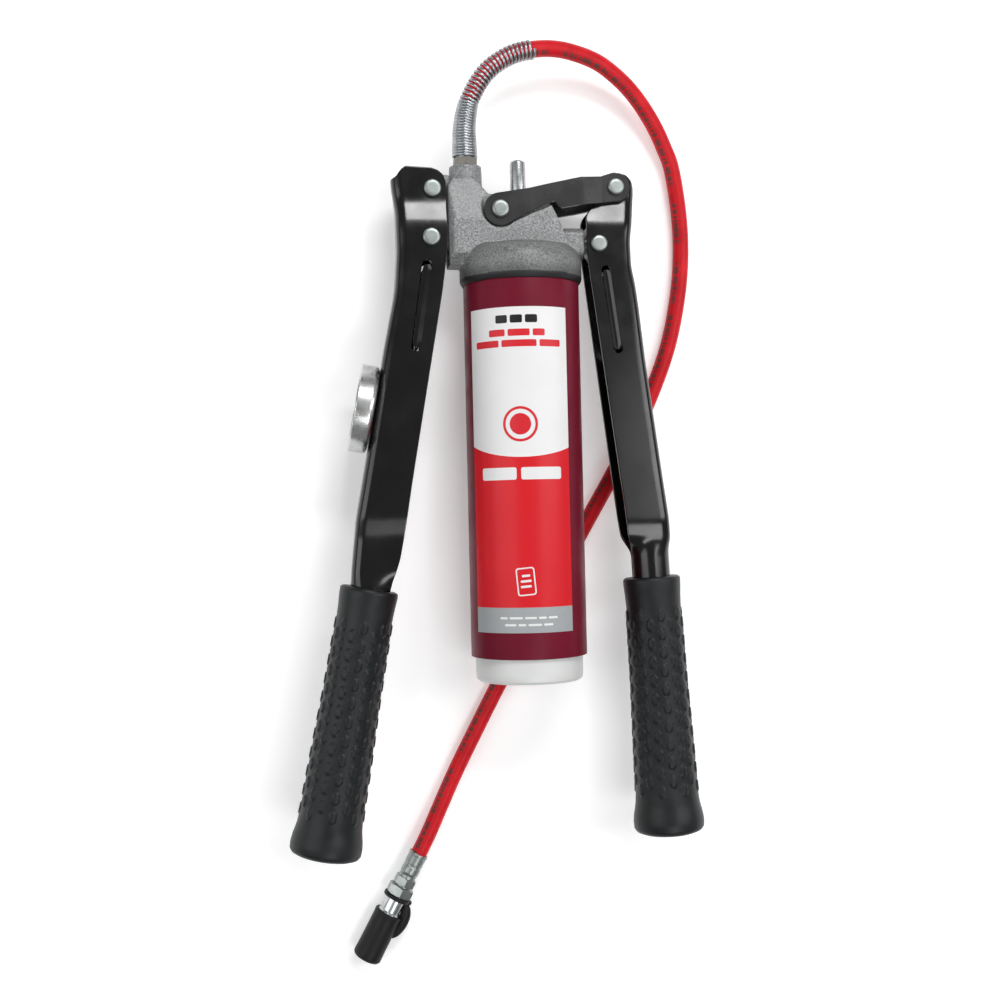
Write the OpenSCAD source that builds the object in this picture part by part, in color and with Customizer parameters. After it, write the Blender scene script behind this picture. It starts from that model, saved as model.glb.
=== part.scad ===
// Hand-lever grease gun with a screw-in cartridge and a short coupler hose.
// The gun lies on its back on a table. Gun frame: +Y runs up the barrel axis towards the hose
// outlet, +X towards the moving lever and +Z away from the table. lay() puts it on the table.

/* [Barrel and cartridge] */
// Outer radius of the barrel
barrel_r = 31.2; // [30.8:0.1:31.6]
// Length of the barrel below the collar
barrel_len = 198.5; // [185:0.5:210]
// Outer radius of the cartridge shell
cartridge_r = 28.9; // [28:0.1:29.1]
// How far the cartridge stands out of the barrel
cartridge_out = 13.7; // [10:0.1:22]

/* [Pump head] */
// Outer radius of the collar
collar_r = 33; // [32.6:0.1:33.4]
// Half thickness of the casting
head_half = 14.2; // [13.6:0.1:14.4]
// Radius of the pump plunger
plunger_r = 5; // [4.5:0.1:5.2]
// Radial running clearance of shafts and pins
running_gap = 0.05; // [0.03:0.01:0.08]

/* [Handles] */
// Thickness of the pressed steel of the handles
sheet_t = 2.4; // [2:0.1:2.6]
// Radius of the round neck of each handle
neck_r = 10.3; // [9.5:0.1:11]
// Radius of a grip at its rim
grip_rim_r = 15.4; // [14.5:0.1:16.5]
// Radius of a grip near its end
grip_end_r = 19.2; // [17.5:0.1:19.5]
// Length of the grip on the fixed handle
fixed_grip_len = 143.5; // [138:0.5:148]
// Length of the grip on the lever
lever_grip_len = 139.5; // [138:0.5:148]

/* [Hose] */
// Outer diameter of the hose
hose_d = 9; // [8.4:0.1:9.2]
// Radius of the rubber dust cap
cap_r = 8.1; // [7.9:0.1:8.4]

/* [Hidden] */
$fn = 64;
HULL_FN = 32;

// Resting attitude: the collar lies on the table, and the hose under the barrel lifts its far end.
collar_flat_top = 12.6;
hose_cross_y = -195;
pitch = asin((hose_d + 0.2 - (collar_r - barrel_r)) / (collar_flat_top - hose_cross_y));
axis_height = collar_r * cos(pitch) + collar_flat_top * sin(pitch);
place_x = 17.6;
place_y = 115.4;

// Collar, barrel and cartridge stations along the barrel axis
collar_bottom = 1.5;
collar_top = 22.6;
shoulder_r = collar_top - collar_flat_top;
barrel_top = 8;
barrel_bottom = collar_bottom - barrel_len;
barrel_in_r = 29.7;
thread_r = 30.9;
seal_t = 1.5;
socket_r = 16;
socket_top = 16;
cartridge_bottom = barrel_bottom - cartridge_out;
cartridge_in_r = cartridge_r - 1.2;
cartridge_neck_r = 15.6;
cartridge_shoulder = -2;

// Plunger, ports and valve
plunger_y = 24.5;
boss_r = 8.75;
boss_end = 34.6;
boss_flat = 7;
bore_start = -17;
inlet_x = 5;
outlet_x = -28.8;
outlet_r = 8.7;
outlet_top = 66.3;
port_r = 4.9;
port_bottom = 55;
valve_r = 4;
seat_y = 33;
ball_r = 3.2;
stem_x = -0.25;
stem_r = 4.25;
stem_top = 69.6;
stem_bottom = 40;
tongue_top = 49.5;
tongue_half = 11.4;

// Pins: the link swings on pivot A, carries the lever at B, and the lever drives the plunger at C
pin_a = [-12, 40.8];
pin_b = [51.3, 53.8];
pin_c = [41.5, 23.3];
pin_r = 3.2;
head_r_a = 4.65;
head_r_b = 4.35;
head_r_c = 4.5;
pin_head_t = 2.2;
rivets = [[-47.3, 53], [-48.6, 26.7]];
rivet_head_r = 4.7;

// Toggle link: wide over the casting, narrow over the lever
link_t = 2.7;
link_wide_in = 11.8;
link_slim_in = 7.9;
link_jog = [32, 43.5];
lobe_a = 8.7;
lobe_b = 7.8;

// Handle depth, outside, at stations down the handle: [y, half depth]
depth = [[70, 7.5], [47, 7.5], [34, 9.9], [-120, 12.5], [-133, 10.6], [-160, 10.5]];

// Grip axes: rim centre and tilt from straight down
fixed_rim = [-85.1, -159];
fixed_tilt = -10.8;
lever_rim = [68.4, -157];
lever_tilt = 2.8;
tang_len = 120;

// Magnet pot on the fixed handle
magnet_at = [-81, -64.4];
magnet_tilt = 11;
magnet_r = 23.5;
magnet_t = 10;
magnet_rivet_r = 2.5;

// Hose route on the table, from the outlet adapter to the tip ferrule
exit_y = 70.8;
ROUTE = [
  [-11.2, 186.2, 30.9], [-11.2, 194.5, 30.6], [-11.1, 203, 30.3], [-9.7, 212, 30],
  [-7.3, 219.5, 29.8], [-1, 230.3, 29.2], [6.4, 237.8, 28.4], [16.6, 243.9, 27], [28, 247.2, 25.2],
  [40, 248.3, 23.2], [52, 246.8, 21], [66, 242.4, 18], [79.5, 233.5, 14.5], [89.5, 223.5, 11.8],
  [98.5, 211, 9.2], [105, 198.5, 7.2], [109.8, 186, 5.8], [113.8, 160, 4.8], [114.4, 136, 4.5],
  [112, 113, 4.5], [106.4, 87.5, 4.5], [97.4, 63, 4.5], [84.8, 36, 4.5], [71, 11, 4.5],
  [56, -14.5, 4.5], [43, -37.5, 4.5], [30, -60, 4.5], [16.5, -83, 4.5], [3.3, -106.3, 4.5],
  [-8.5, -128.5, 4.5], [-20, -150.5, 4.9], [-28.7, -168.5, 6.2], [-35.4, -182.6, 7.6],
  [-41.6, -194.6, 8.2], [-48, -206.5, 8.2]
];
hose_sides = 10;
tip_at = [-48, -206.5, 8.2];
tip_turn = 28.25;
ferrule_len = 15;
ferrule_r = 5.7;
guard_clear = 6.05;

module lay() translate([place_x, place_y, axis_height]) rotate([-pitch, 0, 0]) children();
module along_y(y) translate([0, y, 0]) rotate([-90, 0, 0]) children();
module along_x(x, y) translate([x, y, 0]) rotate([0, 90, 0]) children();
module down_grip(rim, tilt)
  translate([rim[0], rim[1], 0]) rotate([0, 0, tilt]) rotate([90, 0, 0]) children();
module at_tip(s)
  translate(tip_at) rotate([0, 0, -tip_turn]) rotate([90, 0, 0]) translate([0, 0, s]) children();
module both_sides() { children(); mirror([0, 0, 1]) children(); }
module slab(half) linear_extrude(height = 2 * half, center = true) children();

// Ring of revolution between two radii
module ring(r_out, r_in, len) {
  difference() {
    cylinder(r = r_out, h = len);
    translate([0, 0, -1]) cylinder(r = r_in, h = len + 2);
  }
}

// A pin with a chamfered head at both ends, through a stack of half thickness half
module headed_pin(at, r, head_r, half) {
  chamfer = 0.6;
  translate([at[0], at[1], 0]) rotate_extrude() polygon([
    [0, -half - pin_head_t], [head_r - chamfer, -half - pin_head_t],
    [head_r, -half - pin_head_t + chamfer], [head_r, -half], [r, -half], [r, half],
    [head_r, half], [head_r, half + pin_head_t - chamfer],
    [head_r - chamfer, half + pin_head_t], [0, half + pin_head_t]
  ]);
}

// Side profile of a handle (half depth against y), inset all round by the sheet thickness
function depth_line(inset) = [for (d = depth) [d[0], d[1] - inset]];
module depth_profile(inset) {
  side = depth_line(inset);
  back = [for (i = [len(side) - 1:-1:0]) [side[i][0], -side[i][1]]];
  translate([-150, 0, 0]) rotate([90, 0, 90]) linear_extrude(height = 300) polygon(concat(side, back));
}

// Outline and hollow of the fixed handle, seen from the front
fixed_outline = [
  [-62, 65.2], [-47.4, 64.2], [-42.4, 62], [-40.2, 57], [-40.2, 20], [-43.5, -3], [-61.9, -104],
  [-65.2, -124], [-68, -139], [-93.5, -139], [-91.5, -122], [-87.9, -103], [-74.6, -31],
  [-69, -4], [-68.2, 2], [-66.9, 20], [-67.2, 40], [-68.9, 56], [-68, 63]
];
fixed_hollow = [
  [-66.5, 75], [-66.5, 56], [-64.8, 40], [-64.5, 20], [-65.8, 2], [-66.6, -4],
  [-72.2, -31], [-85.5, -103],
  [-89, -122], [-90.4, -134], [-50, -134], [-30, 0], [-30, 75]
];
// Outline and hollow of the lever
lever_outline = [
  [51.5, 62.4], [57.4, 61.4], [60.8, 58.6], [62.4, 54], [62.2, 47.4], [61.2, 37], [59.6, 26],
  [60, 12], [61.9, 2], [63.3, -9], [66.2, -38], [74.4, -104.6], [76.8, -123.5], [78.2, -137],
  [55, -139], [52.6, -131], [51.6, -115], [35.4, 17], [35.1, 39], [42.7, 48], [42.7, 56], [45.5, 60.5]
];
lever_hollow = [
  [60, 75], [59.8, 47.4], [58.8, 37], [57.2, 26], [57.6, 12], [59.5, 2], [60.9, -9],
  [63.8, -38], [72, -104.6], [74.4, -123.5], [75.4, -133], [40, -133], [20, 0], [20, 75]
];

// Long slot pressed in the front and back walls, with its strip pushed inwards
slot_w = 5.2;
module slot_shape(top, bottom, w) {
  span = norm(top - bottom);
  lean = atan2(top[0] - bottom[0], top[1] - bottom[1]);
  translate([top[0], top[1]]) rotate(-lean) {
    translate([-w / 2, -span + w / 2]) square([w, span - w]);
    translate([0, -w / 2]) circle(d = w, $fn = HULL_FN);
    translate([0, -span + w / 2]) circle(d = w, $fn = HULL_FN);
  }
}

// Pressed channel: outline and depth, less the hollow, with the slot and its strip
module channel(outline, hollow, slot_top, slot_bottom, strip_shift) {
  slot_z = 9.6;
  difference() {
    intersection() {
      slab(20) polygon(outline);
      depth_profile(0);
    }
    intersection() {
      slab(20) polygon(hollow);
      depth_profile(sheet_t);
    }
    slab(20) slot_shape(slot_top, slot_bottom, slot_w);
  }
  both_sides() translate([strip_shift, 0, slot_z - sheet_t - 0.6])
    linear_extrude(height = sheet_t) slot_shape(slot_top - [0.4, 3], slot_bottom + [0.4, 3], slot_w);
}

// Closed throat between the channel and the round neck, and the tang inside the grip
throat_top = -6;
skin = 0.05;
module neck_and_tang(rim, tilt, mouth) {
  hull() {
    intersection() {
      slab(20) polygon(mouth);
      depth_profile(skin);
    }
    down_grip(rim, tilt) translate([0, 0, throat_top]) cylinder(r = neck_r - skin, h = 3, $fn = HULL_FN);
  }
  down_grip(rim, tilt) difference() {
    translate([0, 0, throat_top]) cylinder(r = neck_r, h = tang_len - throat_top);
    translate([0, 0, 1]) cylinder(r = neck_r - sheet_t, h = tang_len);
  }
}

module fixed_handle() lay() color("black") {
  difference() {
    union() {
      channel(fixed_outline, fixed_hollow, [-50.9, 14.5], [-58.6, -34], 1.6);
      neck_and_tang(fixed_rim, fixed_tilt, [[-95, -151], [-92, -128], [-66.2, -128], [-70.5, -149]]);
    }
    for (at = rivets) translate([at[0], at[1], -20]) cylinder(r = pin_r, h = 40);
    on_magnet(-10) cylinder(r = magnet_rivet_r, h = 20);
  }
}

module lever_handle() lay() color("black") {
  difference() {
    union() {
      channel(lever_outline, lever_hollow, [44.9, 11.5], [51, -36], -1.6);
      neck_and_tang(lever_rim, lever_tilt, [[77.8, -136], [77, -128], [52.5, -128], [54.6, -136]]);
    }
    for (at = [pin_b, pin_c]) translate([at[0], at[1], -20]) cylinder(r = pin_r, h = 40);
  }
}

// Rubber grip: rolled rim, slight waist, fuller end, closed bottom
module grip(rim, tilt, len) down_grip(rim, tilt) rotate_extrude() difference() {
  polygon([
    [0, 0], [grip_rim_r - 1.6, 0], [grip_rim_r, 1.6], [grip_rim_r, 6], [grip_rim_r - 0.4, 14],
    [grip_rim_r + 0.3, 56], [grip_rim_r + 1.4, 97], [grip_rim_r + 1.8, 118], [grip_end_r - 0.6, 129],
    [grip_end_r, 134], [grip_end_r - 0.4, len - 4], [grip_end_r - 2.4, len - 1],
    [grip_end_r - 5.4, len], [0, len]
  ]);
  translate([0, -1]) square([neck_r, tang_len + 1]);
}
module fixed_grip() lay() color("darkslategray") grip(fixed_rim, fixed_tilt, fixed_grip_len);
module lever_grip() lay() color("darkslategray") grip(lever_rim, lever_tilt, lever_grip_len);
module handle_rivets() lay() color("silver") {
  headed_pin(rivets[0], pin_r, rivet_head_r, depth[0][1]);
  headed_pin(rivets[1], pin_r, rivet_head_r, 10.15);
}

// Toggle link: two plates joined by a bridge, each stepping in towards the lever
link_outline = [
  [-13.8, 49.3], [4.1, 52.1], [14.4, 54.5], [31.8, 58.2], [43.3, 59.6], [50, 61.5],
  [50, 46.1], [35.6, 44.1], [20.9, 41.6], [17.9, 44.7], [15.8, 44.7], [3.8, 39.6], [-8.3, 32.9]
];
module link_plate_outline() {
  polygon(link_outline);
  translate(pin_a) circle(r = lobe_a);
  translate(pin_b) circle(r = lobe_b);
}
module toggle_link() lay() color("black") {
  wide_out = link_wide_in + link_t;
  slim_out = link_slim_in + link_t;
  step = [[-30, link_wide_in], [link_jog[0], link_wide_in], [link_jog[1], link_slim_in],
    [70, link_slim_in], [70, slim_out], [link_jog[1], slim_out], [link_jog[0], wide_out], [-30, wide_out]];
  difference() {
    union() {
      both_sides() intersection() {
        slab(20) link_plate_outline();
        translate([0, 80, 0]) rotate([90, 0, 0]) linear_extrude(height = 80) polygon(step);
      }
      slab(link_wide_in + 0.1) polygon([[14.4, 54.5], [31.8, 58.2], [31.8, 55.5], [14.4, 51.8]]);
    }
    for (at = [pin_a, pin_b]) translate([at[0], at[1], -20]) cylinder(r = pin_r + running_gap, h = 40);
  }
}
pin_play = 0.12;
module link_pivot_pin() lay() color("silver")
  headed_pin(pin_a, pin_r, head_r_a, link_wide_in + link_t + pin_play);
module lever_link_pin() lay() color("silver")
  headed_pin(pin_b, pin_r, head_r_b, link_slim_in + link_t + pin_play);
module plunger_pin() lay() color("silver") headed_pin(pin_c, pin_r, head_r_c, 10.25);

// Casting: collar, body with pockets for the link, outlet boss, plunger boss and handle lug
module casting_blank() {
  arc = [for (a = [0:10:90]) [collar_r - shoulder_r + shoulder_r * cos(a),
    collar_flat_top - collar_bottom + shoulder_r * sin(a)]];
  along_y(collar_bottom) rotate_extrude()
    polygon(concat([[0, 0], [collar_r - 1.5, 0], [collar_r, 2.6]], arc, [[0, collar_top - collar_bottom]]));
  difference() {
    slab(head_half) polygon([
      [-39.3, 12], [-39.3, 54], [-36.5, 58.5], [-25, 58.5], [-17.8, tongue_top],
      [6, tongue_top], [14.5, 46], [24.4, 24.7], [24.4, 12]
    ]);
    both_sides() translate([0, 0, tongue_half]) linear_extrude(height = 10) {
      translate(pin_a) circle(r = lobe_a + 0.9);
      polygon([[-11.5, 31.2], [3.9, 38.3], [17.5, 44], [32, 52], [32, 70], [-21.6, 70], [-21.6, 41]]);
    }
    both_sides() translate([-45, 0, 0]) rotate([90, 0, 90]) linear_extrude(height = 80)
      polygon([[10, 8], [12, 8], [17.6, head_half], [17.6, 20], [10, 20]]);
    both_sides() translate([-45, 0, 0]) rotate([90, 0, 90]) linear_extrude(height = 27)
      polygon([[36, head_half], [59, 9.3], [59, 20], [36, 20]]);
    both_sides() translate([0, 80, 0]) rotate([90, 0, 0]) linear_extrude(height = 80)
      polygon([[-41, 10.5], [-39.3, 10.5], [-36.5, head_half + 0.1], [-41, head_half + 0.1]]);
  }
  translate([outlet_x, 0, 0]) along_y(12) cylinder(r1 = outlet_r + 1.4, r2 = outlet_r, h = outlet_top - 12);
  intersection() {
    along_x(0, plunger_y) cylinder(r = boss_r, h = boss_end);
    slab(boss_flat) translate([-5, 0]) square([50, 50]);
  }
  intersection() {
    slab(20) polygon([[-63, 21], [-63, 58], [-60, 61], [-38, 61], [-38, 21]]);
    depth_profile(sheet_t);
  }
}

module pump_head() lay() color("lightgray") difference() {
  casting_blank();
  along_y(collar_bottom - 1) cylinder(r = thread_r, h = barrel_top + seal_t - collar_bottom + 1);
  along_y(0) cylinder(r = socket_r, h = socket_top);
  along_x(bore_start, plunger_y) cylinder(r = plunger_r + running_gap, h = 60);
  along_x(boss_end - 4, plunger_y) cylinder(r = 6.4, h = 10);
  along_x(outlet_x, plunger_y) cylinder(r = 2.2, h = 20);
  translate([inlet_x, 0, 0]) along_y(10) cylinder(r = 3.5, h = plunger_y - 10);
  translate([outlet_x, 0, 0]) along_y(plunger_y) cylinder(r = 2.2, h = 40);
  translate([outlet_x, 0, 0]) along_y(seat_y) cylinder(r = valve_r, h = 40);
  translate([outlet_x, 0, 0]) along_y(port_bottom) cylinder(r = port_r, h = 40);
  translate([stem_x, 0, 0]) along_y(34) cylinder(r = stem_r + running_gap, h = 40);
  translate([stem_x, 0, 0]) along_y(plunger_y) cylinder(r = 1, h = 12);
  for (at = concat(rivets, [pin_a])) translate([at[0], at[1], -20]) cylinder(r = pin_r, h = 40);
}

module barrel() lay() color("maroon") along_y(barrel_bottom) rotate_extrude() polygon([
  [barrel_in_r, 0.6], [barrel_in_r + 0.5, 0], [barrel_r - 0.4, 0], [barrel_r, 0.4],
  [barrel_r, barrel_len], [thread_r, barrel_len], [thread_r, barrel_top - barrel_bottom],
  [barrel_in_r, barrel_top - barrel_bottom]
]);
module barrel_seal() lay() color("dimgray") along_y(barrel_top) ring(thread_r, barrel_in_r, seal_t);
module cartridge_seal() lay() color("dimgray") along_y(socket_top - seal_t) ring(socket_r, 9, seal_t);

module cartridge_shell() lay() color("white") along_y(cartridge_bottom) rotate_extrude() polygon([
  [cartridge_in_r, 1], [cartridge_r - 2, 0], [cartridge_r, 2.6],
  [cartridge_r, cartridge_shoulder - cartridge_bottom - 3],
  [cartridge_r - 3, cartridge_shoulder - cartridge_bottom],
  [cartridge_neck_r, cartridge_shoulder - cartridge_bottom + 2],
  [cartridge_neck_r, 14 - cartridge_bottom], [cartridge_neck_r - 2, 14 - cartridge_bottom],
  [cartridge_neck_r - 2, cartridge_shoulder - cartridge_bottom],
  [cartridge_in_r - 3, cartridge_shoulder - cartridge_bottom - 2],
  [cartridge_in_r, cartridge_shoulder - cartridge_bottom - 5]
]);
module cartridge_end_cap() lay() color("white") along_y(cartridge_bottom + 1) difference() {
  cylinder(r = cartridge_in_r, h = 6);
  translate([0, 0, 1.6]) cylinder(r = cartridge_in_r - 1.6, h = 6);
  translate([0, 0, -1]) cylinder(r = 3, h = 4);
}
module cartridge_follower() lay() color("ivory") along_y(cartridge_bottom + 8) difference() {
  cylinder(r = cartridge_in_r - 0.4, h = 16);
  translate([0, 0, -1]) cylinder(r = cartridge_in_r - 2.4, h = 14);
}

// Plunger: round rod with a flat slotted eye for the lever's pin
eye = [[36.3, 18.5], [38.3, 15], [49, 15], [49, 33], [36.3, 33]];
eye_half = 5;
module plunger() lay() color("silver") difference() {
  union() {
    along_x(-14, plunger_y) cylinder(r = plunger_r, h = 14 + eye[0][0] + 1);
    slab(eye_half) polygon(eye);
  }
  slab(20) hull() {
    translate([pin_c[0] - 0.4, pin_c[1] + 1.25]) circle(r = pin_r + 0.15, $fn = HULL_FN);
    translate([pin_c[0] + 0.4, pin_c[1] + 1.25]) circle(r = pin_r + 0.15, $fn = HULL_FN);
    translate([pin_c[0] - 0.4, pin_c[1] - 2.15]) circle(r = pin_r + 0.15, $fn = HULL_FN);
    translate([pin_c[0] + 0.4, pin_c[1] - 2.15]) circle(r = pin_r + 0.15, $fn = HULL_FN);
  }
}
module plunger_seal() lay() color("dimgray")
  along_x(boss_end - 4, plunger_y) ring(6.4, plunger_r + running_gap, 4);

// Outlet valve: ball, spring and hex adapter
module check_ball() lay() color("silver") translate([outlet_x, seat_y + ball_r, 0]) sphere(r = ball_r);
module check_spring() lay() color("silver") translate([outlet_x, 0, 0])
  along_y(seat_y + 2 * ball_r + 0.1) ring(3.4, 2.6, port_bottom - seat_y - 2 * ball_r - 0.2);
hex_across = 12.2;
module outlet_adapter() lay() color("silver") translate([outlet_x, 0, 0]) difference() {
  union() {
    along_y(port_bottom) cylinder(r = port_r, h = outlet_top - port_bottom + 1);
    along_y(outlet_top) cylinder(d = hex_across / cos(30), h = exit_y - outlet_top, $fn = 6);
  }
  along_y(port_bottom - 1) cylinder(r = 1.8, h = 30);
}

// Air-bleed stem and its spring
module bleed_stem() lay() color("silver") translate([stem_x, 0, 0]) along_y(stem_bottom) {
  cylinder(r = stem_r, h = stem_top - stem_bottom - 1.2);
  translate([0, 0, stem_top - stem_bottom - 1.2]) cylinder(r1 = stem_r, r2 = stem_r - 1.2, h = 1.2);
}
module bleed_spring() lay() color("silver") translate([stem_x, 0, 0])
  along_y(34) ring(3.9, 3.1, stem_bottom - 34 - 0.1);

// Magnet pot: pressed cup, magnet and centre rivet, on the outer wall of the fixed handle
module on_magnet(s) translate([magnet_at[0], magnet_at[1], 0]) rotate([0, 0, -magnet_tilt])
  rotate([0, -90, 0]) translate([0, 0, s]) children();
module magnet_cup() lay() color("silver") on_magnet(0) rotate_extrude() polygon([
  [magnet_rivet_r, 0], [magnet_r - 5, 0], [magnet_r - 2, 1.2], [magnet_r - 0.5, 3],
  [magnet_r, 5], [magnet_r, magnet_t],
  [magnet_r - 1.4, magnet_t], [magnet_r - 1.4, 5], [magnet_r - 3.6, 2.4], [magnet_rivet_r, 2.4]
]);
module magnet_disc() lay() color("dimgray") on_magnet(0) rotate_extrude() polygon([
  [4.6, 2.4], [magnet_r - 3.6, 2.4], [magnet_r - 1.4, 5],
  [magnet_r - 1.4, magnet_t - 0.4], [4.6, magnet_t - 0.4]
]);
module magnet_rivet() lay() color("silver") on_magnet(0) rotate_extrude() polygon([
  [0, -sheet_t - 1.9], [4.4, -sheet_t - 1.9], [4.4, -sheet_t - 0.3],
  [magnet_rivet_r, -sheet_t - 0.3], [magnet_rivet_r, 2.4],
  [4.5, 2.4], [4.5, 5.4], [3.6, 6], [0, 6]
]);

// Smooth path through the route, and a tube swept along it
function spline(a, b, c, d, t) = 0.5 * (2 * b + (c - a) * t
  + (2 * a - 5 * b + 4 * c - d) * t * t + (3 * b - a - 3 * c + d) * t * t * t);
function smooth(p, n) = [
  for (i = [0:len(p) - 2]) for (k = [0:n - 1])
    spline(p[max(i - 1, 0)], p[i], p[i + 1], p[min(i + 2, len(p) - 1)], k / n),
  p[len(p) - 1]
];
function unit(v) = v / norm(v);
function heading(p, i) = unit(p[min(i + 1, len(p) - 1)] - p[max(i - 1, 0)]);
function ring_at(p, i, r, n) =
  let (t = heading(p, i), s = unit(cross(t, [0, 0, 1])), u = cross(s, t))
  [for (k = [0:n - 1]) p[i] + r * (cos(360 * k / n) * s + sin(360 * k / n) * u)];
function ring_index(i, k, n) = i * n + k % n;
function walls_between(last, n) = [for (i = [0:last - 1], k = [0:n - 1]) [
  ring_index(i, k, n), ring_index(i, k + 1, n), ring_index(i + 1, k + 1, n), ring_index(i + 1, k, n)
]];
module tube(p, r, n) {
  last = len(p) - 1;
  points = [for (i = [0:last]) each ring_at(p, i, r, n)];
  first_end = [for (k = [n - 1:-1:0]) k];
  last_end = [for (k = [0:n - 1]) last * n + k];
  polyhedron(points, concat(walls_between(last, n), [first_end, last_end]));
}
// Hollow tube whose outer and inner radii are listed ring by ring
module sleeve(p, outer, inner, n) {
  last = len(p) - 1;
  m = (last + 1) * n;
  outer_points = [for (i = [0:last]) each ring_at(p, i, outer[i], n)];
  inner_points = [for (i = [0:last]) each ring_at(p, i, inner[i], n)];
  outside = walls_between(last, n);
  inside = [for (f = outside) [for (j = [3:-1:0]) f[j] + m]];
  first_end = [for (k = [0:n - 1]) let (a = ring_index(0, k, n), b = ring_index(0, k + 1, n))
    [a, m + a, m + b, b]];
  last_end = [for (k = [0:n - 1]) let (a = ring_index(last, k, n), b = ring_index(last, k + 1, n))
    [a, b, m + b, m + a]];
  polyhedron(concat(outer_points, inner_points), concat(outside, inside, first_end, last_end));
}

hose_path = smooth(ROUTE, 2);
guard_last = 16;
guard_path = [for (i = [0:guard_last]) hose_path[i]];
module hose() color("red") tube(hose_path, hose_d / 2, hose_sides);
module spring_guard() color("silver") sleeve(guard_path,
  [for (i = [0:guard_last]) i < 5 ? 7.2 - 0.15 * i : max(6.4 - 0.18 * (i - 5), 5.6)],
  [for (i = [0:guard_last]) i < 5 ? guard_clear : 4.9], 12);
module hose_ferrule_head() lay() color("silver") translate([outlet_x, 0, 0])
  along_y(exit_y) ring(ferrule_r, hose_d / 2, ferrule_len);

// Tip fittings, measured along the tip axis from the end of the hose
module hose_ferrule_tip() color("silver") at_tip(-13) ring(5.4, hose_d / 2, 13);
module coupler_adapter() color("silver") difference() {
  union() {
    at_tip(0) cylinder(r = 4.9, h = 18);
    at_tip(2) cylinder(d = 11 / cos(30), h = 4.5, $fn = 6);
    at_tip(7.5) cylinder(d = 13.4 / cos(30), h = 5.2, $fn = 6);
  }
  at_tip(-1) cylinder(r = 1.5, h = 30);
}
body_at = 14;
module coupler_body() color("silver") difference() {
  union() {
    at_tip(body_at - 1.2) cylinder(r = 5.6, h = 10.2);
    at_tip(body_at + 9) cylinder(r = 6.4, h = 21);
  }
  at_tip(body_at - 2) cylinder(r = 4.9, h = 6);
  at_tip(body_at) cylinder(r = 1.8, h = 20);
  at_tip(body_at + 11) cylinder(r = 5.2, h = 30);
}
module coupler_spring() color("silver") at_tip(body_at + 11.1) ring(4.9, 4, 8.7);
module coupler_seal() color("dimgray") at_tip(body_at + 19.9) ring(5.1, 1.8, 3);
module coupler_jaws() color("silver") at_tip(body_at + 23) difference() {
  ring(5.1, 3.3, 7.4);
  for (a = [0, 90]) rotate([0, 0, a]) translate([-8, -0.45, 2]) cube([16, 0.9, 10]);
}
cap_at = 23.5;
cap_len = 28.5;
module dust_cap() color("black") at_tip(cap_at) rotate_extrude() polygon([
  [6.8, 0], [cap_r - 0.6, 0], [cap_r, 0.6], [cap_r, cap_len - 1.4], [cap_r - 1.4, cap_len],
  [0, cap_len], [0, cap_len - 4], [6.8, cap_len - 4]
]);
// Rubber strap: a collar on the coupler with a tab, and a bowed band down to the cap
strap_w = 4;
module dust_cap_strap() color("black") {
  at_tip(body_at - 1) difference() {
    union() {
      cylinder(r = 7.6, h = 2.2);
      translate([0, -strap_w / 2, 0]) cube([8.4, strap_w, 2.2]);
      translate([6.2, -strap_w / 2, 0]) cube([3.4, strap_w, 6.4]);
    }
    translate([0, 0, -1]) cylinder(r = 5.6, h = 5);
  }
  at_tip(0) rotate([90, 0, 0]) linear_extrude(height = strap_w, center = true) difference() {
    translate([3.4, body_at + 12.2]) scale([0.95, 1]) circle(r = 9.9);
    translate([3.4, body_at + 12.2]) circle(r = 5.2);
    translate([-20, 0]) square([20 + cap_r + 0.1, 60]);
  }
}

pump_head();
barrel();
barrel_seal();
cartridge_shell();
cartridge_end_cap();
cartridge_follower();
cartridge_seal();
plunger();
plunger_seal();
check_ball();
check_spring();
outlet_adapter();
bleed_stem();
bleed_spring();
fixed_handle();
fixed_grip();
handle_rivets();
lever_handle();
lever_grip();
toggle_link();
link_pivot_pin();
lever_link_pin();
plunger_pin();
magnet_cup();
magnet_disc();
magnet_rivet();
hose();
spring_guard();
hose_ferrule_head();
hose_ferrule_tip();
coupler_adapter();
coupler_body();
coupler_jaws();
coupler_seal();
coupler_spring();
dust_cap();
dust_cap_strap();
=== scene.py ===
from math import asin, atan2, cos, degrees, hypot, pi, radians, sin, tan

import bmesh
import bpy
from mathutils import Matrix, Vector


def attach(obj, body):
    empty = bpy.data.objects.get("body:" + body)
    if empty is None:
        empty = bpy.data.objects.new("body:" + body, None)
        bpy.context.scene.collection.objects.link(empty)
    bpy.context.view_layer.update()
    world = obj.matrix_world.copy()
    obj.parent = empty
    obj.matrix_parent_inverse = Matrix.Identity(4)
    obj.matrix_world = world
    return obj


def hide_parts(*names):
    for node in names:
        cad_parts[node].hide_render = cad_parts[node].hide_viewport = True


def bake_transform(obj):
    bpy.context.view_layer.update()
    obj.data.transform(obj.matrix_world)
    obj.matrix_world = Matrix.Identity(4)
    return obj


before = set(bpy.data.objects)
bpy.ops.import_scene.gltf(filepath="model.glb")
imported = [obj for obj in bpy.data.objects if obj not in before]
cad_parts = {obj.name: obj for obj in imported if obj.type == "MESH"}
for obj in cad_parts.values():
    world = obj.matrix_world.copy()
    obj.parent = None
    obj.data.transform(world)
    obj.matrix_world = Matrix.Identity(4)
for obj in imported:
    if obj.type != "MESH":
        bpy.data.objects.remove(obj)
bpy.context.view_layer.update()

# ---- frame of the gun
MM = 0.001
BARREL_R, BARREL_BOTTOM = 31.2, -197.0
COLLAR_R, COLLAR_FLAT_TOP, COLLAR_TOP, COLLAR_BOTTOM = 33.0, 12.6, 22.6, 1.5
HOSE_D, HOSE_CROSS_Y = 9.0, -195.0
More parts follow.
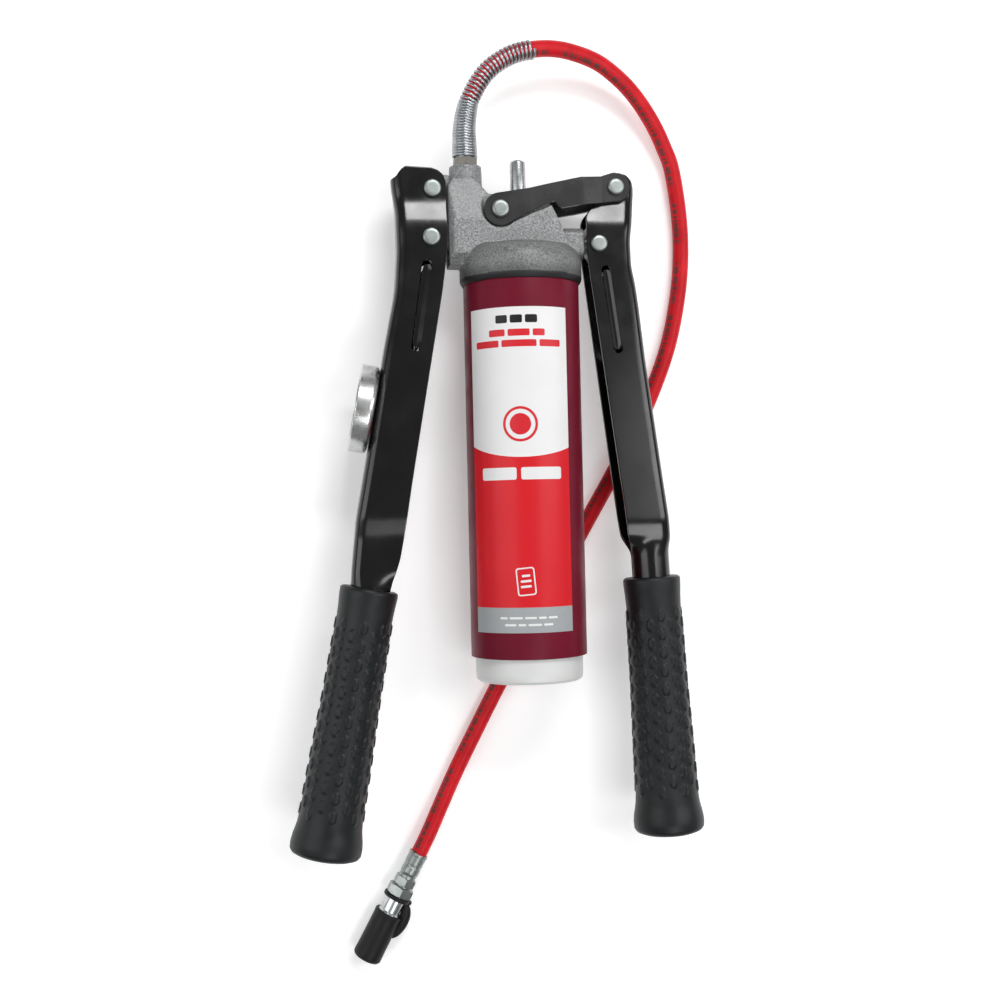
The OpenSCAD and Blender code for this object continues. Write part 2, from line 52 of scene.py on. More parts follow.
PITCH = asin((HOSE_D + 0.2 - (COLLAR_R - BARREL_R)) / (COLLAR_FLAT_TOP - HOSE_CROSS_Y))
AXIS_HEIGHT = COLLAR_R * cos(PITCH) + COLLAR_FLAT_TOP * sin(PITCH)
PLACE = (17.6, 115.4, AXIS_HEIGHT)
ROW = Matrix.Scale(MM, 4)
LAY = ROW @ Matrix.Translation(PLACE) @ Matrix.Rotation(-PITCH, 4, "X")
UNLAY = LAY.inverted()


def shift(x, y, z):
    return Matrix.Translation((x, y, z))


def turn(angle, axis):
    return Matrix.Rotation(radians(angle), 4, axis)


# Frames whose +Z runs along a piece's own axis
def along_y(x, y):
    return LAY @ shift(x, y, 0) @ turn(-90, "X")


def along_z(at):
    return LAY @ shift(at[0], at[1], 0)


def down_grip(rim, tilt):
    return LAY @ shift(rim[0], rim[1], 0) @ turn(tilt, "Z") @ turn(90, "X")


TIP_AT, TIP_TURN = (-48.0, -206.5, 8.2), 28.25
TIP = ROW @ shift(*TIP_AT) @ turn(-TIP_TURN, "Z") @ turn(90, "X")
MAGNET_AT, MAGNET_TILT = (-81.0, -64.4), 11
MAGNET = LAY @ shift(MAGNET_AT[0], MAGNET_AT[1], 0) @ turn(-MAGNET_TILT, "Z") @ turn(-90, "Y")

# ---- camera
CAMERA_AT = Vector((-0.0954, 0.0212, 0.7793))
CAMERA_LOOKS_AT = Vector((0.0042, 0.0019, 0.033))
CAMERA_ROLL = radians(1.064)


def make_camera():
    data = bpy.data.cameras.new("camera")
    data.lens, data.sensor_width = 50, 36
    data.clip_start, data.clip_end = 0.01, 20
    cam = bpy.data.objects.new("camera", data)
    bpy.context.collection.objects.link(cam)
    look = (CAMERA_LOOKS_AT - CAMERA_AT).normalized()
    right = look.cross(Vector((0, 1, 0))).normalized()
    up = right.cross(look)
    basis = Matrix((right, up, -look)).transposed().to_4x4()
    cam.matrix_world = Matrix.Translation(CAMERA_AT) @ basis @ Matrix.Rotation(-CAMERA_ROLL, 4, "Z")
    bpy.context.scene.camera = cam


# ---- mesh construction
CRISP_ANGLE = radians(38)


def quads(rows, wide):
    """Faces between neighbouring rows of a grid of points."""
    return [[i * wide + k, i * wide + k + 1, (i + 1) * wide + k + 1, (i + 1) * wide + k]
            for i in range(rows - 1) for k in range(wide - 1)]


def sheet_faces(rows, wide):
    """Faces of a thin sheet given as two equal grids, one after the other, and of its rim."""
    top, other = quads(rows, wide), rows * wide
    last = (rows - 1) * wide
    border = [k for k in range(wide - 1)] + [wide - 1 + j * wide for j in range(rows - 1)]
    border += [last + k for k in range(wide - 1, 0, -1)] + [j * wide for j in range(rows - 1, 0, -1)]
    rim = [[a, b, other + b, other + a] for a, b in zip(border, border[1:] + border[:1])]
    return top + [[other + v for v in reversed(face)] for face in top] + rim


def make(name, verts, faces, place, material, body, uvs=None):
    """A mesh object from points in the given frame, riding on a body."""
    mesh = bpy.data.meshes.new(name)
    mesh.from_pydata([place @ Vector(v) for v in verts], [], faces)
    if uvs:
        layer = mesh.uv_layers.new(name="uv")
        for loop in mesh.loops:
            layer.data[loop.index].uv = uvs[loop.vertex_index]
    obj = bpy.data.objects.new(name, mesh)
    bpy.context.collection.objects.link(obj)
    mesh.materials.append(material)
    tidy_normals(obj)
    if body:
        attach(obj, body)
    return obj


def tidy_normals(obj):
    """Faces outwards, smooth shading, and crisp edges where the surface really turns."""
    bm = bmesh.new()
    bm.from_mesh(obj.data)
    bmesh.ops.remove_doubles(bm, verts=bm.verts, dist=1e-6)
    bmesh.ops.recalc_face_normals(bm, faces=bm.faces)
    for face in bm.faces:
        face.smooth = True
    for edge in bm.edges:
        if len(edge.link_faces) == 2 and edge.calc_face_angle(0) > CRISP_ANGLE:
            edge.smooth = False
    bm.to_mesh(obj.data)
    bm.free()


def apply_modifiers(obj):
    graph = bpy.context.evaluated_depsgraph_get()
    new = bpy.data.meshes.new_from_object(obj.evaluated_get(graph), depsgraph=graph)
    old = obj.data
    obj.modifiers.clear()
    obj.data = new
    bpy.data.meshes.remove(old)
    return obj


def bevelled(obj, width, segments, angle):
    mod = obj.modifiers.new("bevel", "BEVEL")
    mod.width, mod.segments, mod.limit_method = width * MM, segments, "ANGLE"
    mod.angle_limit = radians(angle)
    mod.use_clamp_overlap = True
    apply_modifiers(obj)
    tidy_normals(obj)
    return obj


def joined(pieces, name):
    """Several meshes of one body as one object that keeps each mesh's material."""
    bm = bmesh.new()
    materials = []
    for piece in pieces:
        for mat in piece.data.materials:
            if mat not in materials:
                materials.append(mat)
    for piece in pieces:
        start = len(bm.faces)
        bm.from_mesh(piece.data)
        bm.faces.ensure_lookup_table()
        slots = [materials.index(m) for m in piece.data.materials]
        for face in bm.faces[start:]:
            face.material_index = slots[face.material_index]
    first = pieces[0]
    bm.to_mesh(first.data)
    bm.free()
    first.data.materials.clear()
    for mat in materials:
        first.data.materials.append(mat)
    for piece in pieces[1:]:
        bpy.data.objects.remove(piece)
    first.name = first.data.name = name
    return first


def rounded(points, radius, steps=4, closed=False):
    """An outline with its corners cut to arcs. A radius may be one number or one per point."""
    count = len(points)
    radii = radius if isinstance(radius, (list, tuple)) else [radius] * count
    out = []
    for i, point in enumerate(points):
        p = Vector(point)
        if not closed and i in (0, count - 1) or radii[i] <= 0:
            out.append(tuple(p))
            continue
        a, b = Vector(points[i - 1]) - p, Vector(points[(i + 1) % count]) - p
        half = a.angle(b, 0) / 2
        if half < 0.02 or half > pi / 2 - 0.02:
            out.append(tuple(p))
            continue
        reach = min(radii[i] / tan(half), 0.48 * a.length, 0.48 * b.length)
        start, end = p + a.normalized() * reach, p + b.normalized() * reach
        for k in range(steps + 1):
            t = k / steps
            out.append(tuple(start * (1 - t) ** 2 + p * 2 * t * (1 - t) + end * t * t))
    return out


def lathe(name, profile, place, material, body, turns=64, ring=False):
    """A solid of revolution about the frame's +Z from (radius, height) points.
    ring closes the profile on itself."""
    verts, faces, rows = [], [], []
    for r, z in profile:
        if r < 1e-6:
            rows.append([len(verts)] * turns)
            verts.append((0, 0, z))
            continue
        rows.append(list(range(len(verts), len(verts) + turns)))
        for k in range(turns):
            angle = 2 * pi * k / turns
            verts.append((r * cos(angle), r * sin(angle), z))
    pairs = list(zip(rows, rows[1:] + rows[:1])) if ring else list(zip(rows, rows[1:]))
    for low, high in pairs:
        for k in range(turns):
            n = (k + 1) % turns
            face = [low[k], low[n], high[n], high[k]]
            face = [v for i, v in enumerate(face) if v != face[i - 1]]
            if len(face) > 2:
                faces.append(face)
    return make(name, verts, faces, place, material, body)


def plate(name, outline, low, high, place, material, body, edge=0.3):
    """A flat piece between two heights, with its edges eased."""
    count = len(outline)
    verts = [(x, y, low) for x, y in outline] + [(x, y, high) for x, y in outline]
    faces = [list(range(count - 1, -1, -1)), list(range(count, 2 * count))]
    faces += [[i, (i + 1) % count, count + (i + 1) % count, count + i] for i in range(count)]
    obj = make(name, verts, faces, place, material, body)
    return bevelled(obj, edge, 2, 50) if edge else obj


SPLINE_STEPS = 8       # pieces of the path between two points of the route


def spline(points):
    """The same smooth path through the points as the CAD model's."""
    pts = [Vector(p) for p in points]
    out = []
    for i in range(len(pts) - 1):
        a, b = pts[max(i - 1, 0)], pts[i]
        c, d = pts[i + 1], pts[min(i + 2, len(pts) - 1)]
        for k in range(SPLINE_STEPS):
            t = k / SPLINE_STEPS
            out.append(0.5 * (2 * b + (c - a) * t + (2 * a - 5 * b + 4 * c - d) * t * t
                              + (3 * b - a - 3 * c + d) * t ** 3))
    return out + [pts[-1]]


def path_frames(path):
    """Heading, right-hand side and upper side at each point of a path."""
    frames = []
    for i in range(len(path)):
        ahead = (path[min(i + 1, len(path) - 1)] - path[max(i - 1, 0)]).normalized()
        side = ahead.cross(Vector((0, 0, 1))).normalized()
        frames.append((ahead, side, side.cross(ahead)))
    return frames


def lengths(path):
    total, out = 0, [0]
    for a, b in zip(path, path[1:]):
        total += (b - a).length
        out.append(total)
    return out


def tube(name, path, radius, place, material, body, sides, frames):
    """A closed round tube along a path, with UVs: turns round it, and metres along it."""
    run = lengths(path)
    verts, uvs = [], []
    for p, (_, side, up), s in zip(path, frames, run):
        for k in range(sides + 1):
            angle = 2 * pi * k / sides
            verts.append(p + radius * (cos(angle) * side + sin(angle) * up))
            uvs.append((k / sides, s * MM))
    faces = quads(len(path), sides + 1)
    last = (len(path) - 1) * (sides + 1)
    faces.append([k for k in range(sides - 1, -1, -1)])
    faces.append([last + k for k in range(sides)])
    return make(name, verts, faces, place, material, body, uvs=uvs)


# ---- materials
def new_material(name, colour, roughness, metallic=0.0, **sockets):
    mat = bpy.data.materials.new(name)
    mat.use_nodes = True
    shader = mat.node_tree.nodes["Principled BSDF"]
    shader.inputs["Base Color"].default_value = (*colour, 1)
    shader.inputs["Roughness"].default_value = roughness
    shader.inputs["Metallic"].default_value = metallic
    for socket, value in sockets.items():
        shader.inputs[socket.replace("_", " ")].default_value = value
    mat.diffuse_color = (*colour, 1)
    return mat


def node(mat, kind, values, **settings):
    made = mat.node_tree.nodes.new(kind)
    for key, value in settings.items():
        setattr(made, key, value)
    for key, value in values.items():
        if isinstance(value, bpy.types.NodeSocket):
            mat.node_tree.links.new(value, made.inputs[key])
        else:
            made.inputs[key].default_value = value
    return made


def feed(mat, socket, value):
    mat.node_tree.links.new(value, mat.node_tree.nodes["Principled BSDF"].inputs[socket])


def grain(mat, per_metre, detail=3.0, stretch=(1, 1, 1), distortion=0.0):
    """Noise fixed to the piece, as many features per metre as given."""
    place = node(mat, "ShaderNodeTexCoord", {}).outputs["Object"]
    if stretch != (1, 1, 1):
        place = node(mat, "ShaderNodeMapping", {"Vector": place, "Scale": stretch}).outputs[0]
    noisy = node(mat, "ShaderNodeTexNoise", {"Vector": place, "Scale": per_metre,
                                             "Detail": detail, "Distortion": distortion})
    return noisy.outputs["Fac"]


def remap(mat, value, low, high, to_low=0.0, to_high=1.0):
    return node(mat, "ShaderNodeMapRange", {0: value, 1: low, 2: high, 3: to_low, 4: to_high}).outputs[0]


def mix(mat, factor, a, b):
    colours = {6: a if isinstance(a, bpy.types.NodeSocket) else (*a, 1),
               7: b if isinstance(b, bpy.types.NodeSocket) else (*b, 1)}
    return node(mat, "ShaderNodeMix", {0: factor, **colours}, data_type="RGBA").outputs[2]


def maths(mat, operation, a, b=0.0):
    return node(mat, "ShaderNodeMath", {0: a, 1: b}, operation=operation).outputs[0]


def bump(mat, height, millimetres, strength):
    made = node(mat, "ShaderNodeBump", {"Height": height, "Distance": millimetres * MM,
                                        "Strength": strength})
    feed(mat, "Normal", made.outputs[0])


def attribute(mat, name):
    return node(mat, "ShaderNodeAttribute", {}, attribute_name=name).outputs["Fac"]


def cast_alloy():
    """Tumbled die casting: pale with fine flecks, the rough collar darkened with painted shade, and a
    near-black painted shadow along the collar's lower edge.
    """
    mat = new_material("cast_alloy", (0.25, 0.26, 0.26), 0.48, 0.3)
    flecks = grain(mat, 1050, 4)
    patches = grain(mat, 120, 3)
    pale = mix(mat, remap(mat, flecks, 0.36, 0.66), (0.13, 0.135, 0.14), (0.37, 0.375, 0.375))
    pale = mix(mat, remap(mat, patches, 0.35, 0.7, 0, 0.3), pale, (0.21, 0.215, 0.22))
    # Painted shade: the collar gets a darker tone of the same alloy in place of the shade on its faces.
    dark = mix(mat, remap(mat, flecks, 0.36, 0.68), (0.12, 0.125, 0.122), (0.28, 0.29, 0.283))
    body = mix(mat, attribute(mat, "collar"), pale, dark)
    # Painted shadow: near black along the collar's lower edge, and a fading painted shade above it on the
    # collar.
    feed(mat, "Base Color", mix(mat, attribute(mat, "painted_lip_shade"), body, (0.02, 0.02, 0.022)))
    feed(mat, "Roughness", remap(mat, flecks, 0.3, 0.7, 0.40, 0.58))
    bump(mat, maths(mat, "ADD", flecks, patches), 0.14, 0.6)
    return mat


def paint(name, colour, deep, roughness, specular):
    """Sprayed enamel: slight orange peel, with a little change of tone and gloss."""
    mat = new_material(name, colour, roughness, Specular_IOR_Level=specular)
    tone = grain(mat, 25, 3)
    skin = grain(mat, 420, 2)
    feed(mat, "Base Color", mix(mat, remap(mat, tone, 0.3, 0.7), colour, deep))
    feed(mat, "Roughness", remap(mat, grain(mat, 70, 4), 0.3, 0.75, roughness * 0.8, roughness * 1.3))
    bump(mat, skin, 0.012, 0.6)
    return mat


def plated(name, colour, tint, roughness, scratches=(1, 1, 1), per_metre=260):
    """Plated or ground steel: clouded plating, with fine lines where it is drawn or turned."""
    mat = new_material(name, colour, roughness, 1.0)
    cloud = grain(mat, 140, 4, distortion=0.6)
    lines = grain(mat, per_metre, 3, scratches)
    feed(mat, "Base Color", mix(mat, remap(mat, cloud, 0.3, 0.72), colour, tint))
    feed(mat, "Roughness", remap(mat, lines, 0.25, 0.75, roughness * 0.85, roughness * 1.25))
    bump(mat, lines, 0.01, 0.4)
    return mat


def rubber(name, colour, roughness, texture=0.05, per_metre=1600):
    """Moulded rubber: fine matt texture and a faint bloom."""
    mat = new_material(name, colour, roughness, Specular_IOR_Level=0.3)
    bloom = grain(mat, 60, 4)
    pale = tuple(min(1, c * 1.5 + 0.004) for c in colour)
    feed(mat, "Base Color", mix(mat, remap(mat, bloom, 0.35, 0.75, 0, 0.7), colour, pale))
    feed(mat, "Roughness", remap(mat, bloom, 0.3, 0.7, roughness * 0.9, min(1, roughness * 1.15)))
    bump(mat, grain(mat, per_metre, 2), texture, 0.6)
    return mat


def plastic(name, colour, shade, roughness):
    """Moulded plastic with a soft inner glow and flow marks."""
    mat = new_material(name, colour, roughness, Subsurface_Weight=0.12, Subsurface_Scale=0.003)
    flow = grain(mat, 45, 3, (1, 0.35, 1))
    feed(mat, "Base Color", mix(mat, remap(mat, flow, 0.3, 0.7), colour, shade))
    feed(mat, "Roughness", remap(mat, grain(mat, 300, 2), 0.3, 0.7, roughness * 0.85, roughness * 1.2))
    bump(mat, flow, 0.03, 0.4)
    return mat


def film(name, colour, shade):
    """Printed vinyl film: even ink with a fine dot and a soft gloss."""
    roughness = 0.3
    mat = new_material(name, colour, roughness, Specular_IOR_Level=0.15)
    dots = grain(mat, 2600, 1)
    wide = grain(mat, 30, 2)
    tone = mix(mat, remap(mat, dots, 0.4, 0.6, 0, 0.25), colour, shade)
    feed(mat, "Base Color", mix(mat, remap(mat, wide, 0.35, 0.7, 0, 0.5), tone, shade))
    feed(mat, "Roughness", remap(mat, wide, 0.3, 0.7, roughness * 0.85, roughness * 1.2))
    bump(mat, grain(mat, 500, 2), 0.015, 0.4)
    return mat


def hose_rubber():
    """Smooth red hose with a broken line of dark printed dashes along one side."""
    mat = new_material("hose_rubber", (0.62, 0.012, 0.02), 0.38, Specular_IOR_Level=0.15)
    uv = node(mat, "ShaderNodeTexCoord", {}).outputs["UV"]
    parts = node(mat, "ShaderNodeSeparateXYZ", {0: uv})
    round_it, along = parts.outputs[0], parts.outputs[1]
    centre, half_width = 0.13, 0.056
    off = maths(mat, "ABSOLUTE", maths(mat, "SUBTRACT", round_it, centre))
    band = remap(mat, off, half_width, half_width - 0.008)
    blocks = node(mat, "ShaderNodeTexNoise", {"W": maths(mat, "MULTIPLY", along, 520.0), "Scale": 1.0,
                                              "Detail": 0.0}, noise_dimensions="1D").outputs["Fac"]
    groups = node(mat, "ShaderNodeTexNoise", {"W": maths(mat, "MULTIPLY", along, 60.0), "Scale": 1.0,
                                              "Detail": 0.0}, noise_dimensions="1D").outputs["Fac"]
    dashes = maths(mat, "MULTIPLY", remap(mat, blocks, 0.42, 0.46), remap(mat, groups, 0.30, 0.34))
    ink = maths(mat, "MULTIPLY", maths(mat, "MULTIPLY", band, dashes), 0.75)
    tone = mix(mat, remap(mat, grain(mat, 90, 3), 0.3, 0.7), (0.66, 0.014, 0.022), (0.50, 0.009, 0.016))
    feed(mat, "Base Color", mix(mat, ink, tone, (0.045, 0.05, 0.045)))
    feed(mat, "Roughness", remap(mat, grain(mat, 700, 2), 0.3, 0.7, 0.32, 0.46))
    bump(mat, grain(mat, 1500, 2), 0.03, 0.5)
    return mat


def floor_material():
    """White paper, with a faint glow like a light table's, which keeps the shadows pale."""
    mat = new_material("floor", (0.9, 0.9, 0.9), 0.8, Emission_Color=(1, 1, 1, 1), Emission_Strength=0.3)
    speck = grain(mat, 220, 3)
    feed(mat, "Base Color", mix(mat, remap(mat, speck, 0.3, 0.7), (0.91, 0.91, 0.91), (0.89, 0.89, 0.893)))
    bump(mat, speck, 0.02, 0.2)
    return mat


CAST = cast_alloy()
MAROON = paint("barrel_paint", (0.165, 0.010, 0.026), (0.14, 0.008, 0.022), 0.36, 0.12)
BLACK = paint("black_paint", (0.003, 0.003, 0.0032), (0.005, 0.005, 0.005), 0.19, 0.5)
LINK_BLACK = paint("link_paint", (0.025, 0.024, 0.024), (0.0225, 0.0215, 0.0215), 0.26, 0.5)
ZINC = plated("zinc_steel", (0.35, 0.385, 0.38), (0.28, 0.305, 0.29), 0.38)
BRIGHT_ZINC = plated("bright_zinc", (0.60, 0.63, 0.64), (0.44, 0.46, 0.47), 0.25)
DULL_ZINC = plated("dull_zinc", (0.30, 0.28, 0.25), (0.20, 0.19, 0.18), 0.38)
GROUND = plated("ground_steel", (0.45, 0.46, 0.47), (0.36, 0.37, 0.38), 0.28, (1, 14, 14), 200)
WIRE = plated("spring_steel", (0.42, 0.44, 0.46), (0.30, 0.32, 0.34), 0.30)
NICKEL = plated("nickel", (0.74, 0.76, 0.76), (0.58, 0.59, 0.57), 0.27)
FERRITE = rubber("ferrite", (0.03, 0.03, 0.032), 0.6, 0.08, 900)
GRIP = rubber("grip_rubber", (0.007, 0.0085, 0.0095), 0.42, 0.02, 1800)
CAP = rubber("cap_rubber", (0.003, 0.003, 0.003), 0.5, 0.02)
SEAL = rubber("seal_rubber", (0.012, 0.012, 0.012), 0.45, 0.02)
HOSE_RED = hose_rubber()
WHITE_PLASTIC = plastic("cartridge_plastic", (0.70, 0.70, 0.69), (0.65, 0.66, 0.66), 0.34)
IVORY_PLASTIC = plastic("follower_plastic", (0.74, 0.70, 0.60), (0.68, 0.64, 0.54), 0.4)
LABEL_WHITE = film("label_white", (0.80, 0.80, 0.80), (0.72, 0.72, 0.73))
LABEL_RED = film("label_red", (0.66, 0.018, 0.026), (0.58, 0.014, 0.022))
LABEL_GREY = film("label_grey", (0.36, 0.375, 0.385), (0.32, 0.335, 0.345))
INK_BLACK = film("ink_black", (0.018, 0.018, 0.02), (0.03, 0.03, 0.03))
INK_RED = film("ink_red", (0.66, 0.03, 0.04), (0.56, 0.02, 0.03))
INK_WHITE = film("ink_white", (0.78, 0.78, 0.78), (0.70, 0.70, 0.70))


# ---- hose
# The CAD model's route of the hose on the table, from the outlet adapter to the tip ferrule
ROUTE = [
    (-11.2, 186.2, 30.9), (-11.2, 194.5, 30.6), (-11.1, 203, 30.3), (-9.7, 212, 30),
    (-7.3, 219.5, 29.8), (-1, 230.3, 29.2), (6.4, 237.8, 28.4), (16.6, 243.9, 27), (28, 247.2, 25.2),
    (40, 248.3, 23.2), (52, 246.8, 21), (66, 242.4, 18), (79.5, 233.5, 14.5), (89.5, 223.5, 11.8),
    (98.5, 211, 9.2), (105, 198.5, 7.2), (109.8, 186, 5.8), (113.8, 160, 4.8), (114.4, 136, 4.5),
    (112, 113, 4.5), (106.4, 87.5, 4.5), (97.4, 63, 4.5), (84.8, 36, 4.5), (71, 11, 4.5),
    (56, -14.5, 4.5), (43, -37.5, 4.5), (30, -60, 4.5), (16.5, -83, 4.5), (3.3, -106.3, 4.5),
    (-8.5, -128.5, 4.5), (-20, -150.5, 4.9), (-28.7, -168.5, 6.2), (-35.4, -182.6, 7.6),
    (-41.6, -194.6, 8.2), (-48, -206.5, 8.2),
]
OUTLET_X, OUTLET_TOP, EXIT_Y = -28.8, 66.3, 70.8
GUARD_POINT = 8        # the spring guard ends at this point of the route


def make_hose():
    path = spline(ROUTE)
    hose = tube("hose_tube", path, HOSE_D / 2 - 0.02, ROW, HOSE_RED, "root", 28, path_frames(path))
    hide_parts("hose")
    return hose, path


def make_spring_guard(path):
    """Close coils that taper off the fitting, then open coils that let the hose show."""
    wire_r, close_pitch, open_pitch, close_len = 0.72, 1.5, 2.45, 31.0
    wire_along, wire_out = 1.08, 0.5             # the wire is flattened
    run = lengths(path)
    frames = path_frames(path)
    end = run[GUARD_POINT * SPLINE_STEPS]

    def at(s):
        i = max(k for k in range(len(run) - 1) if run[k] <= s + 1e-9)
        t = (s - run[i]) / (run[i + 1] - run[i])
        side = frames[i][1].lerp(frames[i + 1][1], t).normalized()
        up = frames[i][2].lerp(frames[i + 1][2], t).normalized()
        return path[i].lerp(path[i + 1], t), side, up

    coil, outward, s, angle = [], [], wire_r, 0.0
    steps = 18
    while s < end - wire_r:
        middle, side, up = at(s)
        flare = max(0.0, 1 - s / close_len)
        radius = 5.05 + 1.6 * flare ** 0.75
        out = cos(angle) * side + sin(angle) * up
        coil.append(middle + radius * out)
        outward.append(out)
        blend = min(max((s - close_len + 2) / 4, 0), 1)
        s += (close_pitch * (1 - blend) + open_pitch * blend) / steps
        angle += 2 * pi / steps
    wire_frames = []
    for i, out in enumerate(outward):
        head = (coil[min(i + 1, len(coil) - 1)] - coil[max(i - 1, 0)]).normalized()
        across = head.cross(out).normalized()
        wire_frames.append((head, across * wire_along, across.cross(head) * wire_out))
    guard = tube("guard_coil", coil, wire_r, ROW, WIRE, "root", 8, wire_frames)
    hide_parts("spring_guard")
    return guard


def make_ferrules():
    """Crimped sleeves at both ends of the hose."""
    inner = HOSE_D / 2
    grooves = []
    for z in (3.2, 6.2, 9.2):
        grooves += [(5.4, z - 0.8), (5.05, z - 0.5), (5.05, z + 0.5), (5.4, z + 0.8)]
    head_outer = [(5.4, 0)] + grooves + [(5.4, 14.6), (5.15, 15)]
    head = lathe("head_ferrule", rounded([(inner, 0)] + head_outer + [(inner, 15)], 0.25, 2, True),
                 along_y(OUTLET_X, EXIT_Y), ZINC, "root", 48, ring=True)
    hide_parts("hose_ferrule_head")
    tip = lathe("tip_ferrule", rounded([
        (inner, -13), (5.25, -13), (5.4, -12.7), (5.4, -11.6), (5.2, -11.2), (5.2, -6.4), (5.0, -6.0),
        (5.0, -4.9), (5.2, -4.5), (5.2, -1.2), (4.9, 0), (inner, 0)], 0.25, 2, True),
        TIP, ZINC, "root", 48, ring=True)
    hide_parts("hose_ferrule_tip")
    return head, tip


def hexagon(name, across, low, high, place, material, body, chamfer=0.6):
    """A hexagon nut form with turned chamfers at both ends."""
    apothem, count = across / 2, 72
    turned = apothem + chamfer * 0.4
    rows = [[], [], [], []]
    for k in range(count):
        angle = 2 * pi * k / count
        off = (angle + pi / 6) % (pi / 3) - pi / 6
        r = apothem / cos(off)
        drop = max(0.0, r - turned) * 0.6
        for row, radius, z in zip(rows, (min(r, turned) - 0.15, r - 0.02, r - 0.02, min(r, turned) - 0.15),
                                  (low, low + drop + 0.12, high - drop - 0.12, high)):
            row.append((radius * cos(angle), radius * sin(angle), z))
    verts = sum(rows, []) + [(0, 0, low), (0, 0, high)]
    faces = []
    for i in range(3):
        for k in range(count):
            n = (k + 1) % count
            faces.append([i * count + k, i * count + n, (i + 1) * count + n, (i + 1) * count + k])
    for k in range(count):
        n = (k + 1) % count
        faces.append([4 * count, n, k])
        faces.append([4 * count + 1, 3 * count + k, 3 * count + n])
    return make(name, verts, faces, place, material, body)


def make_coupler():
    """Adapter with two hexagons, coupler body, dust cap and its strap."""
    stem = lathe("adapter_stem", rounded([(0, 0.1), (4.85, 0.1), (4.85, 15), (0, 15)], 0.3),
                 TIP, ZINC, "root")
    small = hexagon("small_hex", 11, 2, 6.5, TIP, ZINC, "root")
    large = hexagon("large_hex", 13.4, 7.5, 12.7, TIP, ZINC, "root")
    adapter = joined([stem, small, large], "tip_adapter")
    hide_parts("coupler_adapter")
    body = lathe("coupler_shell", rounded([
        (0, 12.9), (5.5, 12.9), (5.6, 13.3), (5.6, 22.6), (6.4, 23.4), (6.4, 43.4), (5.9, 44),
        (5.2, 44), (5.2, 25.2), (0, 25.2)], 0.3, 3), TIP, BRIGHT_ZINC, "root", 72)
    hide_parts("coupler_body")
    cap = lathe("dust_cap_shell", rounded([
        (6.75, 23.5), (7.9, 23.5), (8.05, 24.4), (7.85, 27), (7.95, 46), (8.15, 50.4), (7.1, 52), (0, 52),
        (0, 48), (6.75, 48)], [0.2, 0.4, 0.6, 2, 2, 1.0, 1.0, 0, 0, 0.4], 4),
        TIP, CAP, "dust_cap", 72)
    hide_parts("dust_cap")
    return adapter, body, cap, make_strap()


def make_strap():
    """Rubber collar on the coupler with a tab, and a bowed band down to the cap."""
    collar_outline = rounded([(5.65, 13), (7.7, 13.1), (7.7, 15.1), (5.65, 15.2)], 0.5, 3, True)
    collar = lathe("strap_collar", collar_outline, TIP, CAP, None, 64, ring=True)
    tab_outline = rounded([(6.0, -2.2), (8.9, -2.0), (8.9, 2.0), (6.0, 2.2)], 0.8, 3, True)
    tab = plate("strap_tab", tab_outline, 13.2, 15.2, TIP, CAP, None, 0.4)
    bow, rings = [], []
    centre, reach_x, reach_z = Vector((5.4, 0, 26.0)), 4.0, 9.6
    start, stop, count = radians(72), radians(-84), 26
    for i in range(count + 1):
        a = start + (stop - start) * i / count
        middle = centre + Vector((reach_x * cos(a), 0, reach_z * sin(a)))
        out = Vector((cos(a) / reach_x, 0, sin(a) / reach_z)).normalized()
        swell = sin(pi * i / count)
        rings.append((middle, out, 1.7 + 1.5 * swell, 1.9 + 0.9 * swell))
    sides = 14
    for middle, out, thick, wide in rings:
        for k in range(sides):
            b = 2 * pi * k / sides
            bow.append(middle + out * thick * cos(b) + Vector((0, 1, 0)) * wide * sin(b))
    faces = [[i * sides + k, i * sides + (k + 1) % sides, (i + 1) * sides + (k + 1) % sides,
              (i + 1) * sides + k] for i in range(count) for k in range(sides)]
    faces += [list(range(sides)), [count * sides + k for k in range(sides)]]
    band = make("strap_band", bow, faces, TIP, CAP, None)
    strap = joined([collar, tab, band], "cap_strap")
    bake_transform(strap)
    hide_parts("dust_cap_strap")
    return strap


make_camera()
hose, hose_path = make_hose()
guard = make_spring_guard(hose_path)
head_ferrule, tip_ferrule = make_ferrules()
adapter, coupler, cap, strap = make_coupler()
round(lengths(hose_path)[-1] * MM, 3)


# ---- casting, barrel, cartridge
# Painted shade on the collar: the near-black painted shadow along its lower edge ends at the first height,
# and a painted shade of the third value's strength fades out up the collar by the second height.
LIP_SHADE_TOP, SHADE_FADE_TOP, SHADE_FADE_START = 5.0, 12.0, 0.5


